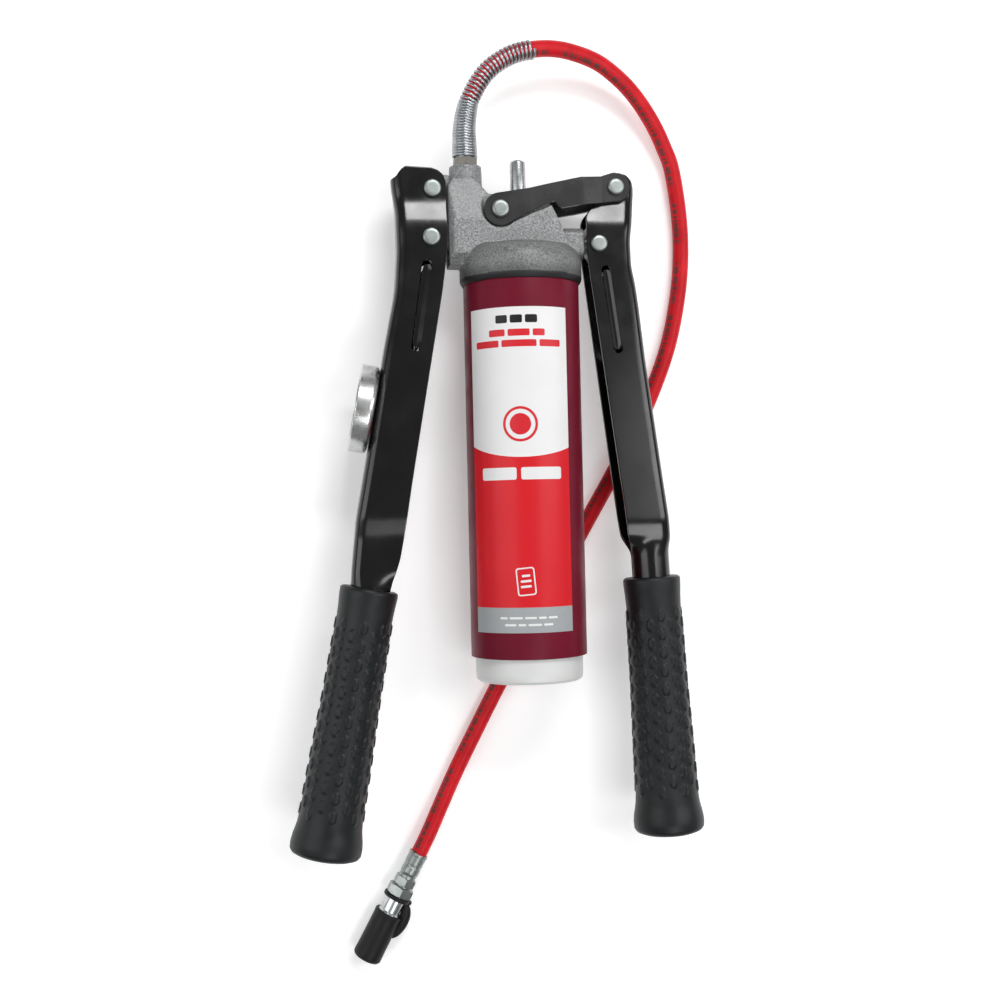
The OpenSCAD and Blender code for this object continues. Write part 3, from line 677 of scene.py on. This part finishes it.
def make_casting():
    """The pump head: the CAD shape with the rounded edges and slight draft of a die casting."""
    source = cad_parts["pump_head"]
    casting = bpy.data.objects.new("pump_casting", source.data.copy())
    bpy.context.collection.objects.link(casting)
    remesh = casting.modifiers.new("remesh", "REMESH")
    remesh.mode, remesh.voxel_size = "VOXEL", 0.55 * MM
    soften = casting.modifiers.new("soften", "SMOOTH")
    soften.factor, soften.iterations = 0.5, 7
    apply_modifiers(casting)
    mesh = casting.data
    for face in mesh.polygons:
        face.use_smooth = True
    # Masks for painted shade: the first marks the collar, which the material paints darker as shade; the
    # second marks the painted shadow along its lower edge and its fade.
    collar = mesh.attributes.new("collar", "FLOAT", "POINT")
    painted_lip_shade = mesh.attributes.new("painted_lip_shade", "FLOAT", "POINT")
    for vert in mesh.vertices:
        p = UNLAY @ vert.co
        r = hypot(p.x, p.z)
        core = COLLAR_R - (COLLAR_TOP - COLLAR_FLAT_TOP)
        if p.y > COLLAR_FLAT_TOP and r > core:
            reach = hypot(r - core, p.y - COLLAR_FLAT_TOP)
            on_collar = reach < COLLAR_TOP - COLLAR_FLAT_TOP + 0.5
        else:
            on_collar = p.y < COLLAR_FLAT_TOP and r < COLLAR_R + 0.5 and r > BARREL_R
        collar.data[vert.index].value = 1.0 if on_collar else 0.0
        # Painted shade mask: full below the lower-edge height, then a fading share on the collar only.
        shade_fade = SHADE_FADE_START * (1 - ramp(p.y, LIP_SHADE_TOP, SHADE_FADE_TOP))
        painted_lip_shade.data[vert.index].value = 1.0 if p.y < LIP_SHADE_TOP else shade_fade * on_collar
    mesh.materials.clear()
    mesh.materials.append(CAST)
    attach(casting, "root")
    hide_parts("pump_head")


def make_barrel():
    inner, thread, top = 29.7, 30.9, 8.0
    low = BARREL_BOTTOM
    profile = [(inner, low + 0.6), (inner + 0.4, low), (BARREL_R, low), (BARREL_R, COLLAR_BOTTOM),
               (thread, COLLAR_BOTTOM), (thread, top), (inner, top)]
    barrel = lathe("barrel_tube", rounded(profile, [0.2, 0.2, 0.5, 0.2, 0.1, 0.2, 0.2], 3, True),
                   along_y(0, 0), MAROON, "root", 160, ring=True)
    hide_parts("barrel")


LABEL_FROM, LABEL_TO = -67.0, 39.0            # degrees round the barrel from straight up
LABEL_BOTTOM, LABEL_TOP = -183.0, -13.5
LABEL_LIFT, MARK_LIFT = 0.10, 0.15            # how far the film and its marks stand off the barrel


def on_barrel(angle, y, lift):
    a = radians(angle)
    r = BARREL_R + lift
    return (r * sin(a), y, r * cos(a))


def film_patch(name, low_edge, high_edge, material, rows):
    """A panel of the label between two edges, each a height or a function of the angle."""
    columns = 64
    low_at = low_edge if callable(low_edge) else lambda a: low_edge
    high_at = high_edge if callable(high_edge) else lambda a: high_edge
    verts = []
    for level in (LABEL_LIFT, LABEL_LIFT - 0.09):
        for j in range(rows + 1):
            for i in range(columns + 1):
                a = LABEL_FROM + (LABEL_TO - LABEL_FROM) * i / columns
                y = low_at(a) + (high_at(a) - low_at(a)) * j / rows
                verts.append(on_barrel(a, y, level))
    return make(name, verts, sheet_faces(rows + 1, columns + 1), LAY, material, "root")


def label_mark(outline, angle, y, material, hole=None):
    """A printed mark on the label: an outline in millimetres about a point, with an optional hole.
    It is cut into narrow upright strips, so that it follows the barrel."""
    bm = bmesh.new()
    loops = [outline] + ([hole] if hole else [])
    edges = []
    for loop in loops:
        corners = [bm.verts.new((x, v, 0)) for x, v in loop]
        edges += [bm.edges.new((corners[i - 1], corners[i])) for i in range(len(corners))]
    bmesh.ops.triangle_fill(bm, use_beauty=True, edges=edges)
    strip = 1.5
    left, right = min(x for x, _ in outline), max(x for x, _ in outline)
    for k in range(1, int((right - left) / strip) + 1):
        whole = bm.verts[:] + bm.edges[:] + bm.faces[:]
        bmesh.ops.bisect_plane(bm, geom=whole, plane_co=(left + strip * k - 0.4, 0, 0), plane_no=(1, 0, 0))
    top = [(v.co.x, v.co.y) for v in bm.verts]
    bm.verts.index_update()
    tris = [[v.index for v in f.verts] for f in bm.faces]
    rims = [[e.verts[0].index, e.verts[1].index] for e in bm.edges if len(e.link_faces) == 1]
    bm.free()
    verts = [on_barrel(angle + degrees(x / BARREL_R), y + v, level)
             for level in (MARK_LIFT, MARK_LIFT - 0.05) for x, v in top]
    count = len(top)
    faces = tris + [[count + i for i in reversed(t)] for t in tris]
    faces += [[a, b, count + b, count + a] for a, b in rims]
    return make("mark", verts, faces, LAY, material, "root")


def circle(r, count):
    return [(r * cos(2 * pi * k / count), r * sin(2 * pi * k / count)) for k in range(count)]


def bar(width, height, corner, lean=0.0):
    """Outline of a bar with rounded corners, turned by lean degrees."""
    x, y = width / 2, height / 2
    spin = Matrix.Rotation(radians(lean), 2)
    return [tuple(spin @ Vector(p)) for p in rounded([(-x, -y), (x, -y), (x, y), (-x, y)], corner, 3, True)]


def bar_row(widths, gap, height, corner, angle, y, material):
    """A centred row of bars on the label."""
    x = -(sum(widths) + gap * (len(widths) - 1)) / 2
    row = []
    for width in widths:
        where = angle + degrees((x + width / 2) / BARREL_R)
        row.append(label_mark(bar(width, height, corner), where, y, material))
        x += width + gap
    return row


def make_label():
    """Three printed panels, with plain bars, a disc and a ticket outline as the marks."""
    middle = (LABEL_FROM + LABEL_TO) / 2
    half = (LABEL_TO - LABEL_FROM) / 2
    red_low, swoop_low, swoop_side = LABEL_BOTTOM + 13.2, -91.6, -86.1

    def swoop(a):
        return swoop_low + (swoop_side - swoop_low) * ((a - middle - 4) / half) ** 2

    white = film_patch("label_white_panel", swoop, LABEL_TOP, LABEL_WHITE, 24)
    red = film_patch("label_red_panel", red_low, swoop, LABEL_RED, 24)
    grey = film_patch("label_grey_band", LABEL_BOTTOM, red_low, LABEL_GREY, 4)
    black_marks = joined(bar_row((6.4, 6.4, 6.4), 1.5, 4.2, 0.9, middle, -19.8, INK_BLACK),
                         "label_black_marks")
    marks = []
    for y, widths in ((-26.9, (9, 11.5, 6.5)), (-32.5, (14.5, 18.5, 12))):
        marks += bar_row(widths, 1.6, 3.6, 0.8, middle, y, INK_RED)
    disc_at = (middle + 2, -74.5)
    marks.append(label_mark(circle(5.6, 40), *disc_at, INK_RED))
    marks.append(label_mark(circle(9.2, 56), *disc_at, INK_RED, circle(7.8, 56)))
    red_marks = joined(marks, "label_red_marks")
    marks = bar_row((20, 22), 2.4, 6.4, 1.2, middle + 1 + degrees(0.2 / BARREL_R), -100.2, INK_WHITE)
    lean, ticket_angle, ticket_y = 5, middle + 4, -156.3
    marks.append(label_mark(bar(9.8, 14.6, 1.6, lean), ticket_angle, ticket_y, INK_WHITE,
                            bar(8.4, 13.2, 1.1, lean)))
    for above, width in ((3.0, 4.2), (0.2, 5.6), (-2.6, 5.6)):
        marks.append(label_mark(bar(width, 1.2, 0.3, lean), ticket_angle, ticket_y + above, INK_WHITE))
    for y, widths in ((-175.2, (4, 7, 6, 4, 5)), (-178.8, (6, 4, 7, 5))):
        marks += bar_row(widths, 1.2, 1.1, 0.3, middle + 6, y, INK_WHITE)
    white_marks = joined(marks, "label_white_marks")


def make_cartridge():
    """Moulded cartridge whose closed end stands out of the barrel."""
    r, inner, low, neck, shoulder = 28.9, 27.7, -210.7, 15.6, -2.0
    shell = lathe("cartridge_moulding", rounded([
        (inner, low + 1), (r - 2.4, low), (r - 0.3, low + 1.4), (r, low + 4.5), (r, shoulder - 3),
        (r - 3, shoulder), (neck, shoulder + 2), (neck, 14), (neck - 2, 14), (neck - 2, shoulder),
        (inner - 3, shoulder - 2), (inner, shoulder - 5)],
        [0.2, 1.0, 1.6, 1.0, 1, 1, 0.5, 0.4, 0.4, 0.5, 1, 1], 4, True),
        along_y(0, 0), WHITE_PLASTIC, "cartridge", 144, ring=True)
    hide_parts("cartridge_shell")
    cap = lathe("cartridge_end_moulding", rounded([
        (3, 0), (inner - 6, 0), (inner - 6.6, 0.9), (inner - 2.4, 0.9), (inner - 1.8, 0), (inner - 0.05, 0),
        (inner - 0.05, 6), (inner - 1.6, 6), (inner - 1.6, 1.7), (3, 1.7)], 0.35, 3, True),
        along_y(0, low + 1), WHITE_PLASTIC, "cartridge", 120, ring=True)
    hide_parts("cartridge_end_cap")
    follower = lathe("follower_cup", rounded([
        (0, 14), (inner - 2.4, 14), (inner - 2.4, 0), (inner - 0.9, 0), (inner - 0.4, 1), (inner - 0.4, 3.4),
        (inner - 1.0, 4), (inner - 1.0, 12), (inner - 0.4, 12.6), (inner - 0.4, 15.4), (inner - 1.2, 16),
        (0, 16)], 0.4, 3), along_y(0, low + 8), IVORY_PLASTIC, "follower", 120)
    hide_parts("cartridge_follower")


def make_small_turned_pieces():
    """Outlet adapter, bleed stem, and the zinc pins and rivets."""
    neck = lathe("adapter_neck", rounded([(0, 55.2), (4.8, 55.2), (4.8, 66.4), (0, 66.4)], 0.3),
                 along_y(OUTLET_X, 0), DULL_ZINC, "root", 48)
    nut = hexagon("adapter_nut", 12.2, OUTLET_TOP + 0.02, EXIT_Y, along_y(OUTLET_X, 0), DULL_ZINC, "root")
    adapter_nut = joined([neck, nut], "outlet_hex")
    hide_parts("outlet_adapter")

    stem = lathe("bleed_pin", rounded([
        (0, 40), (4.25, 40), (4.25, 68.6), (3.5, 69.6), (2.2, 69.6), (1.9, 68.8), (0, 68.6)],
        [0, 0.3, 0.5, 0.3, 0.3, 0.3, 0], 3), along_y(-0.25, 0), BRIGHT_ZINC, "bleed_stem", 64)
    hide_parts("bleed_stem")

    def headed(name, node_name, at, r, head_r, half, body):
        head = 2.2
        side = [(0, half + head), (head_r - 1.9, half + head), (head_r - 0.7, half + head - 0.12),
                (head_r, half + head - 0.8), (head_r, half), (r, half)]
        profile = side + [(a, -b) for a, b in reversed(side)]
        pin = lathe(name, rounded(profile, [0, 0.6, 0.5, 0.4, 0.15, 0.1] + [0.1, 0.15, 0.4, 0.5, 0.6, 0], 3),
                    along_z(at), ZINC, body, 48)
        if node_name:
            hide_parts(node_name)
        return pin

    pin_r = 3.2
    headed("link_pivot_stud", "link_pivot_pin", PIN_A, pin_r, 4.65, LINK_WIDE + LINK_T + 0.12, "root")
    headed("lever_link_stud", "lever_link_pin", PIN_B, pin_r, 4.35, LINK_SLIM + LINK_T + 0.12, "lever")
    headed("plunger_stud", "plunger_pin", PIN_C, pin_r, 4.5, 10.25, "lever")
    pair = [headed("rivet_a", None, RIVETS[0], pin_r, 4.7, 7.5, "root"),
            headed("rivet_b", None, RIVETS[1], pin_r, 4.7, 10.15, "root")]
    rivets = joined(pair, "lug_rivets")
    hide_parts("handle_rivets")


# ---- link and handles
PIN_A, PIN_B, PIN_C = (-12.0, 40.8), (51.3, 53.8), (41.5, 23.3)
RIVETS = ((-47.3, 53.0), (-48.6, 26.7))
LINK_T, LINK_WIDE, LINK_SLIM = 2.7, 11.8, 7.9


def arc(centre, radius, start, end, count=18):
    """Points of an arc from one bearing to another, in degrees."""
    return [(centre[0] + radius * cos(radians(start + (end - start) * k / count)),
             centre[1] + radius * sin(radians(start + (end - start) * k / count))) for k in range(count + 1)]


def make_link():
    """Two plates that step in towards the lever, joined by a bridge over the casting."""
    top = rounded([(-13.8, 49.3), (4.1, 52.1), (14.4, 54.5), (31.8, 58.2), (43.3, 59.4), (50, 61.5)], 6, 3)
    low = rounded([(50, 46.1), (35.6, 44.1), (20.9, 41.6), (17.6, 45.2), (15.8, 44.9), (3.8, 39.6),
                   (-8.3, 32.9)],
                  [0, 6, 1.6, 1.4, 1.6, 6, 0], 3)
    outline = top + arc(PIN_B, 7.8, 80, -80)[1:-1] + low + arc(PIN_A, 8.7, -65, -258, 26)[1:-1]
    step_start, step_end = 32.0, 43.5
    plates = []
    for side in (1, -1):
        bm = bmesh.new()
        bm.faces.new([bm.verts.new((x, y, 0)) for x, y in outline])
        for x in (step_start - 1.2, step_start, step_start + 1.2, step_end - 1.2, step_end, step_end + 1.2):
            geometry = bm.verts[:] + bm.edges[:] + bm.faces[:]
            bmesh.ops.bisect_plane(bm, geom=geometry, plane_co=(x, 0, 0), plane_no=(1, 0, 0))
        for vert in bm.verts:
            t = min(max((vert.co.x - step_start) / (step_end - step_start), 0), 1)
            ease = t * t * (3 - 2 * t) * 0.25 + t * 0.75
            vert.co.z = side * (LINK_WIDE + (LINK_SLIM - LINK_WIDE) * ease)
        bmesh.ops.triangulate(bm, faces=[f for f in bm.faces if len(f.verts) > 4])
        bm.normal_update()
        if (sum((f.normal.z for f in bm.faces)) > 0) != (side > 0):
            bmesh.ops.reverse_faces(bm, faces=bm.faces)
        bmesh.ops.solidify(bm, geom=bm.faces[:], thickness=-LINK_T)
        bmesh.ops.recalc_face_normals(bm, faces=bm.faces)
        verts = [tuple(v.co) for v in bm.verts]
        bm.verts.index_update()
        faces = [[v.index for v in f.verts] for f in bm.faces]
        bm.free()
        plates.append(bevelled(make("link_plate", verts, faces, LAY, LINK_BLACK, "toggle_link"), 0.45, 3, 50))
    strip = rounded([(14.6, 54.4), (31.6, 58.0), (31.4, 55.6), (14.4, 52.0)], 0.5, 2, True)
    bridge = plate("link_bridge", strip, -LINK_WIDE - 0.6, LINK_WIDE + 0.6, LAY, LINK_BLACK,
                   "toggle_link", 0.3)
    link = joined(plates + [bridge], "link_pressing")
    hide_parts("toggle_link")


SHEET_T, BEND_R, NECK_R = 2.4, 5.2, 10.3
EASE_REACH = 2.5       # millimetres over which the handles' corners are eased


def table_at(table, y):
    """Straight-line value between a table's stations, from top to bottom."""
    if y >= table[0][0]:
        return table[0][1]
    for (ya, a), (yb, b) in zip(table, table[1:]):
        if y >= yb:
            return a + (b - a) * (ya - y) / (ya - yb)
    return table[-1][1]


def eased(table, y):
    """The same value with the table's corners eased over a few millimetres."""
    return sum(table_at(table, y + EASE_REACH * k / 3) for k in range(-3, 4)) / 7


def ramp(value, low, high):
    t = min(max((value - low) / (high - low), 0), 1)
    return t * t * (3 - 2 * t)


def make_handle(name, node_name, body, way, web, edge, depth, top, rim, tilt, morph, slot_ends):
    """A pressed channel that closes into a round neck and runs on as a tube inside the grip.
    way is +1 where the channel is open towards +X, and -1 where it is open towards -X."""
    flange, corner, back = 26, 8, 8
    bottom, crown = rim[1] - 112, max(y for _, y in top)
    stations = [crown - 0.9 * k for k in range(34)]
    y = stations[-1]
    while y > bottom:
        y -= 2.2 if y > -96 or y < rim[1] - 6 else 1.1
        stations.append(max(y, bottom))

    def ceiling(x):
        pts = sorted(top)
        for (xa, ya), (xb, yb) in zip(pts, pts[1:]):
            if xa <= x <= xb:
                return ya + (yb - ya) * (x - xa) / (xb - xa)
        return pts[0][1] if x < pts[0][0] else pts[-1][1]

    def section(y):
        xw, xf, half = eased(web, y), eased(edge, y), eased(depth, y)
        start = xw + way * BEND_R
        line = []
        for k in range(flange + 1):
            t = 1 - cos(pi / 2 * k / flange)
            line.append((xf + (start - xf) * (0.35 * t + 0.65 * k / flange), half))
        for k in range(1, corner + 1):
            a = pi / 2 * k / corner
            line.append((start - way * BEND_R * sin(a), half - BEND_R * (1 - cos(a))))
        for k in range(1, back):
            line.append((xw, (half - BEND_R) * (1 - 2 * k / back)))
        line += [(x, -z) for x, z in reversed(line[:flange + corner + 1])]
        return line

    grid = []
    for y in stations:
        line = section(y)
        run = [0]
        for a, b in zip(line, line[1:]):
            run.append(run[-1] + hypot(b[0] - a[0], b[1] - a[1]))
        along = rim[1] - y
        centre = rim[0] + tan(radians(tilt)) * along
        wide = NECK_R / cos(radians(tilt))
        gap = radians(9)
        weight = ramp(-y, -morph[0], -morph[1])
        row = []
        for (x, z), s in zip(line, run):
            a = gap / 2 + (2 * pi - gap) * s / run[-1]
            tx, tz = centre + way * wide * cos(a), NECK_R * sin(a)
            row.append([x + (tx - x) * weight, y, z + (tz - z) * weight])
        grid.append(row)
    reach = 24.0
    for row in grid:
        for point in row:
            lift = max(0.0, point[1] - (crown - reach)) / reach
            point[1] -= lift ** 2 * (crown - ceiling(point[0]))
    wide = len(grid[0])
    verts = [tuple(p) for row in grid for p in row]
    handle = make(name, verts, quads(len(grid), wide), LAY, BLACK, body)
    shell = handle.modifiers.new("sheet", "SOLIDIFY")
    middle = handle.data.polygons[(flange // 2) + (wide - 1) * 40]
    outward = middle.normal.z > 0
    shell.thickness, shell.offset = SHEET_T * MM, -1.0 if outward else 1.0
    shell.use_even_offset = True
    apply_modifiers(handle)
    bevelled(handle, 0.4, 2, 60)
    cut_slots(handle, slot_ends)
    strips = [pressed_strip(slot_ends, eased(depth, (slot_ends[0][1] + slot_ends[1][1]) / 2), side, body)
              for side in (1, -1)]
    handle = joined([handle] + strips, name)
    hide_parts(node_name)
    return handle


def stadium(top, bottom, width):
    """Outline of a slot between two end points, round at both ends."""
    count = 10
    a, b = Vector(top), Vector(bottom)
    ahead = (b - a).normalized()
    lean = degrees(atan2(ahead.y, ahead.x))
    r = width / 2
    a, b = a + ahead * r, b - ahead * r
    return arc(tuple(b), r, lean - 90, lean + 90, count) + arc(tuple(a), r, lean + 90, lean + 270, count)


def cut_slots(handle, ends):
    cutter = plate("slot_cutter", stadium(*ends, 5.2), -30, 30, LAY, BLACK, "root", 0)
    cut = handle.modifiers.new("slot", "BOOLEAN")
    cut.operation, cut.object, cut.solver = "DIFFERENCE", cutter, "EXACT"
    apply_modifiers(handle)
    bpy.data.objects.remove(cutter)
    tidy_normals(handle)


def pressed_strip(ends, half, side, body):
    """The strip pushed in from a slot: sunk along its middle, with its two ends free."""
    top, bottom = Vector(ends[0]), Vector(ends[1])
    ahead = (bottom - top).normalized()
    top, bottom = top + ahead * 2.4, bottom - ahead * 2.4
    across = Vector((-ahead.y, ahead.x))
    if across.x > 0:
        across = -across                          # the free edge faces -X, the bent edge +X
    steps, columns = 26, 8
    free, bent = 1.9, -2.9
    rows = []
    for i in range(steps + 1):
        t = i / steps
        middle = top.lerp(bottom, t)
        ends_in = ramp(min(t, 1 - t), 0, 0.05)
        row = []
        for k in range(columns + 1):
            u = k / columns
            offset = free + (bent - free) * u
            narrow = offset * (0.55 + 0.45 * ends_in)
            sink = 1.3 - 1.15 * ramp(u, 0.35, 1.0)
            p = middle + across * narrow
            row.append((p.x, p.y, side * (half - sink)))
        rows.append(row)
    outer = [p for row in rows for p in row]
    inner = [(x, y, z - side * SHEET_T * 0.8) for x, y, z in outer]
    return make("slot_strip", outer + inner, sheet_faces(steps + 1, columns + 1), LAY, BLACK, body)


FIXED_RIM, FIXED_TILT, FIXED_GRIP_LEN = (-85.1, -159.0), -10.8, 143.5
LEVER_RIM, LEVER_TILT, LEVER_GRIP_LEN = (68.4, -157.0), 2.8, 139.5


def make_handles():
    upper = [(70, 7.5), (47, 7.5), (34, 9.9)]
    make_handle(
        "fixed_pressing", "fixed_handle", "root", 1,
        web=[(64, -69.2), (56, -68.9), (40, -67.2), (20, -66.9), (2, -68.2), (-4, -69), (-31, -74.6),
             (-103, -87.9), (-122, -91.5), (-139, -93.4), (-160, -95.6)],
        edge=[(64, -40.2), (20, -40.2), (-3, -43.5), (-104, -61.9), (-132, -66.6), (-144, -69), (-156, -73),
              (-175, -76)],
        depth=upper + [(-120, 12.5), (-133, 10.0), (-160, 10.0)],
        top=[(-68.9, 58.5), (-66.6, 59.4), (-64.4, 62.6), (-61.5, 65), (-47.4, 64.2), (-44, 62.8),
             (-41.6, 60.6), (-40.2, 57)],
        rim=FIXED_RIM, tilt=FIXED_TILT, morph=(-148, -174), slot_ends=((-50.9, 14.5), (-58.6, -34)))
    make_handle(
        "lever_pressing", "lever_handle", "lever", -1,
        web=[(62, 62.6), (54, 62.5), (47.4, 62.2), (37, 61.2), (26, 59.7), (12, 60), (2, 61.9), (-9, 63.3),
             (-38, 66.2), (-104.6, 74.4), (-123.5, 76.8), (-137, 78.2), (-160, 79.4)],
        edge=[(62, 43.2), (56, 42.7), (48, 42.7), (39, 35.2), (17, 35.4), (-115, 51.6), (-140, 54.6),
              (-150, 57)],
        depth=upper + [(-127, 12.6), (-138, 10.0), (-160, 10.0)],
        top=[(62.5, 54), (61, 58.2), (57.6, 61.2), (51.5, 62.4), (46, 60.8), (43.6, 58.6), (42.7, 55)],
        rim=LEVER_RIM, tilt=LEVER_TILT, morph=(-134, -146), slot_ends=((44.9, 11.5), (51, -36)))


def make_grip(name, node_name, body, rim, tilt, long):
    """Moulded grip: rolled rim, smooth ends, and staggered rows of raised oval pads between."""
    outline = [(0.0, 14.1), (0.5, 15.1), (1.6, 15.6), (5, 15.5), (10, 15.1), (18, 14.8), (56, 15.2),
               (97, 16.4), (long - 24, 16.8), (long - 16, 17.5), (long - 10, 18.8), (long - 6.5, 19.2),
               (long - 3, 19.0),
               (long - 1.4, 17.9), (long - 0.5, 15.6), (long, 11), (long, 0)]
    columns, pitch, first, last = 16, 9.9, 17.0, long - 17.5
    pad_h, half_long, half_wide = 0.7, 3.4, 2.0

    def pad(z, angle, r):
        if z < first or z > last:
            return 0.0
        column = angle / (2 * pi) * columns
        best = 0.0
        for c in (int(column), int(column) + 1):
            shift_z = pitch / 2 if c % 2 else 0
            row = round((z - first - half_long - shift_z) / pitch)
            if row < 0:
                continue
            zc = first + half_long + shift_z + row * pitch
            if zc + half_long > last:
                continue
            dx = (column - c) * 2 * pi / columns * r / half_wide
            dz = (z - zc) / half_long
            d = (abs(dx) ** 2.2 + abs(dz) ** 2.2) ** (1 / 2.2)
            best = max(best, 1 - ramp(d, 0.76, 1.06))
        return best * pad_h

    heights = [0.0, 0.15, 0.5, 1.0, 1.6, 2.6, 4.0]
    z = 5.0
    while z < long - 8:
        heights.append(z)
        z += 0.65 if first - 2 < z < last + 2 else 1.5
    heights += [long - back for back in (8, 7, 6, 5, 4, 3, 2.2, 1.5, 0.9, 0.5, 0.2)]
    table = [(-a, r) for a, r in outline]

    def radius(z):
        if not 3 < z < 130:
            return table_at(table, -z)
        return sum(table_at(table, -z + 1.5 * k) for k in (-1, 0, 1)) / 3

    turns = 192
    bore, blind = NECK_R + 0.05, 119.9
    verts, faces, rows = [], [], []

    def ring_of(r_at, z):
        rows.append(list(range(len(verts), len(verts) + turns)))
        for k in range(turns):
            a = 2 * pi * k / turns
            r = r_at(a)
            verts.append((r * cos(a), r * sin(a), z))

    ring_of(lambda a: bore, blind)
    ring_of(lambda a: bore, 0.3)
    ring_of(lambda a: bore + 0.3, 0.0)
    for z in heights:
        r = radius(z)
        ring_of(lambda a: r + pad(z, a, r), z)
    for r, z in ((12.5, long), (9, long), (4.5, long - 0.2)):
        ring_of(lambda a: r, z)
    for low, high in zip(rows, rows[1:]):
        for k in range(turns):
            n = (k + 1) % turns
            faces.append([low[k], low[n], high[n], high[k]])
    tip = len(verts)
    verts += [(0, 0, long - 0.25), (0, 0, blind)]
    for k in range(turns):
        n = (k + 1) % turns
        faces.append([rows[-1][k], rows[-1][n], tip])
        faces.append([rows[0][n], rows[0][k], tip + 1])
    grip = make(name, verts, faces, down_grip(rim, tilt), GRIP, body)
    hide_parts(node_name)


def make_magnet():
    """Pressed steel pot on the outer wall of the fixed handle, its magnet and centre rivet."""
    r, depth = 23.5, 10.0
    cup = lathe("magnet_pot", rounded([
        (2.6, 0), (r - 6, 0), (r, 0.2), (r, depth), (r - 1.4, depth), (r - 1.4, 5), (r - 4, 2.4), (2.6, 2.4)],
        [0.2, 0.5, 5.4, 0.5, 0.4, 1.5, 0.6, 0.2], 8, True), MAGNET, NICKEL, "root", 128, ring=True)
    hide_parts("magnet_cup")
    disc = lathe("magnet_ferrite", rounded([
        (4.7, 2.45), (r - 4, 2.45), (r - 1.5, 5.2), (r - 1.5, 9.2), (r - 2.4, 9.3), (r - 3.0, 9.6),
        (4.7, 9.6)],
        [0, 0.3, 0.3, 0.2, 0.3, 0.3, 0.4], 3, True), MAGNET, FERRITE, "root", 128, ring=True)
    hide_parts("magnet_disc")
    rivet = lathe("magnet_stud", rounded([
        (0, -4.3), (3.4, -4.3), (4.4, -3.6), (4.4, -2.72), (2.45, -2.72), (2.45, 2.45), (4.5, 2.45),
        (4.5, 4.9), (3.4, 5.9), (1.6, 5.9), (1.2, 5.3), (0, 5.3)], 0.4, 3), MAGNET, BRIGHT_ZINC, "root", 48)
    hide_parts("magnet_rivet")


def finish_cad_nodes():
    """Materials for the CAD pieces that keep their own shape."""
    looks = {
        "barrel_seal": SEAL, "cartridge_seal": SEAL, "plunger_seal": SEAL, "coupler_seal": SEAL,
        "plunger": GROUND, "check_ball": GROUND, "check_spring": WIRE, "bleed_spring": WIRE,
        "coupler_spring": WIRE, "coupler_jaws": GROUND,
    }
    for name, mat in looks.items():
        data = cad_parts[name].data
        for index in range(len(data.materials)):
            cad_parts[name].material_slots[index].material = mat
        if not len(data.materials):
            data.materials.append(mat)


# ---- floor and light
def make_floor():
    verts, size, count, drop = [], 3.0, 12, 0.0002       # in metres, a hair below the gun
    for j in range(count + 1):
        for i in range(count + 1):
            verts.append((size * (2 * i / count - 1), size * (2 * j / count - 1), -drop))
    mesh = bpy.data.meshes.new("floor")
    mesh.from_pydata(verts, [], quads(count + 1, count + 1))
    floor = bpy.data.objects.new("floor", mesh)
    bpy.context.collection.objects.link(floor)
    mesh.materials.append(floor_material())


LIGHTS_AIM_AT = Vector((0, 0, 0.03))


def area_light(name, at, size, watts):
    data = bpy.data.lights.new(name, "AREA")
    data.shape, data.size, data.size_y = "RECTANGLE", size[0], size[1]
    data.energy = watts
    light = bpy.data.objects.new(name, data)
    light.location = at
    light.rotation_euler = (LIGHTS_AIM_AT - Vector(at)).to_track_quat("-Z", "Y").to_euler()
    bpy.context.collection.objects.link(light)


def make_light():
    world = bpy.data.worlds.new("studio")
    bpy.context.scene.world = world
    world.use_nodes = True
    backdrop = world.node_tree.nodes["Background"]
    backdrop.inputs["Color"].default_value = (1, 1, 1, 1)
    backdrop.inputs["Strength"].default_value = 0.22
    area_light("main", (0.95, 0.2, 1.18), (0.42, 1.2), 7.8)
    area_light("top", (0.2, 0.87, 1.05), (0.55, 0.2), 7)
    area_light("side", (-1.0, 0.1, 0.9), (0.6, 1.2), 5.6)
    area_light("low", (0.2, -0.6, 1.2), (0.62, 0.3), 3.6)
    view = bpy.context.scene.view_settings
    view.view_transform, view.look = "Standard", "None"


make_casting()
make_barrel()
make_label()
make_cartridge()
make_small_turned_pieces()
make_link()
make_handles()
make_grip("fixed_grip_moulding", "fixed_grip", "root", FIXED_RIM, FIXED_TILT, FIXED_GRIP_LEN)
make_grip("lever_grip_moulding", "lever_grip", "lever", LEVER_RIM, LEVER_TILT, LEVER_GRIP_LEN)
make_magnet()
finish_cad_nodes()
make_floor()
make_light()
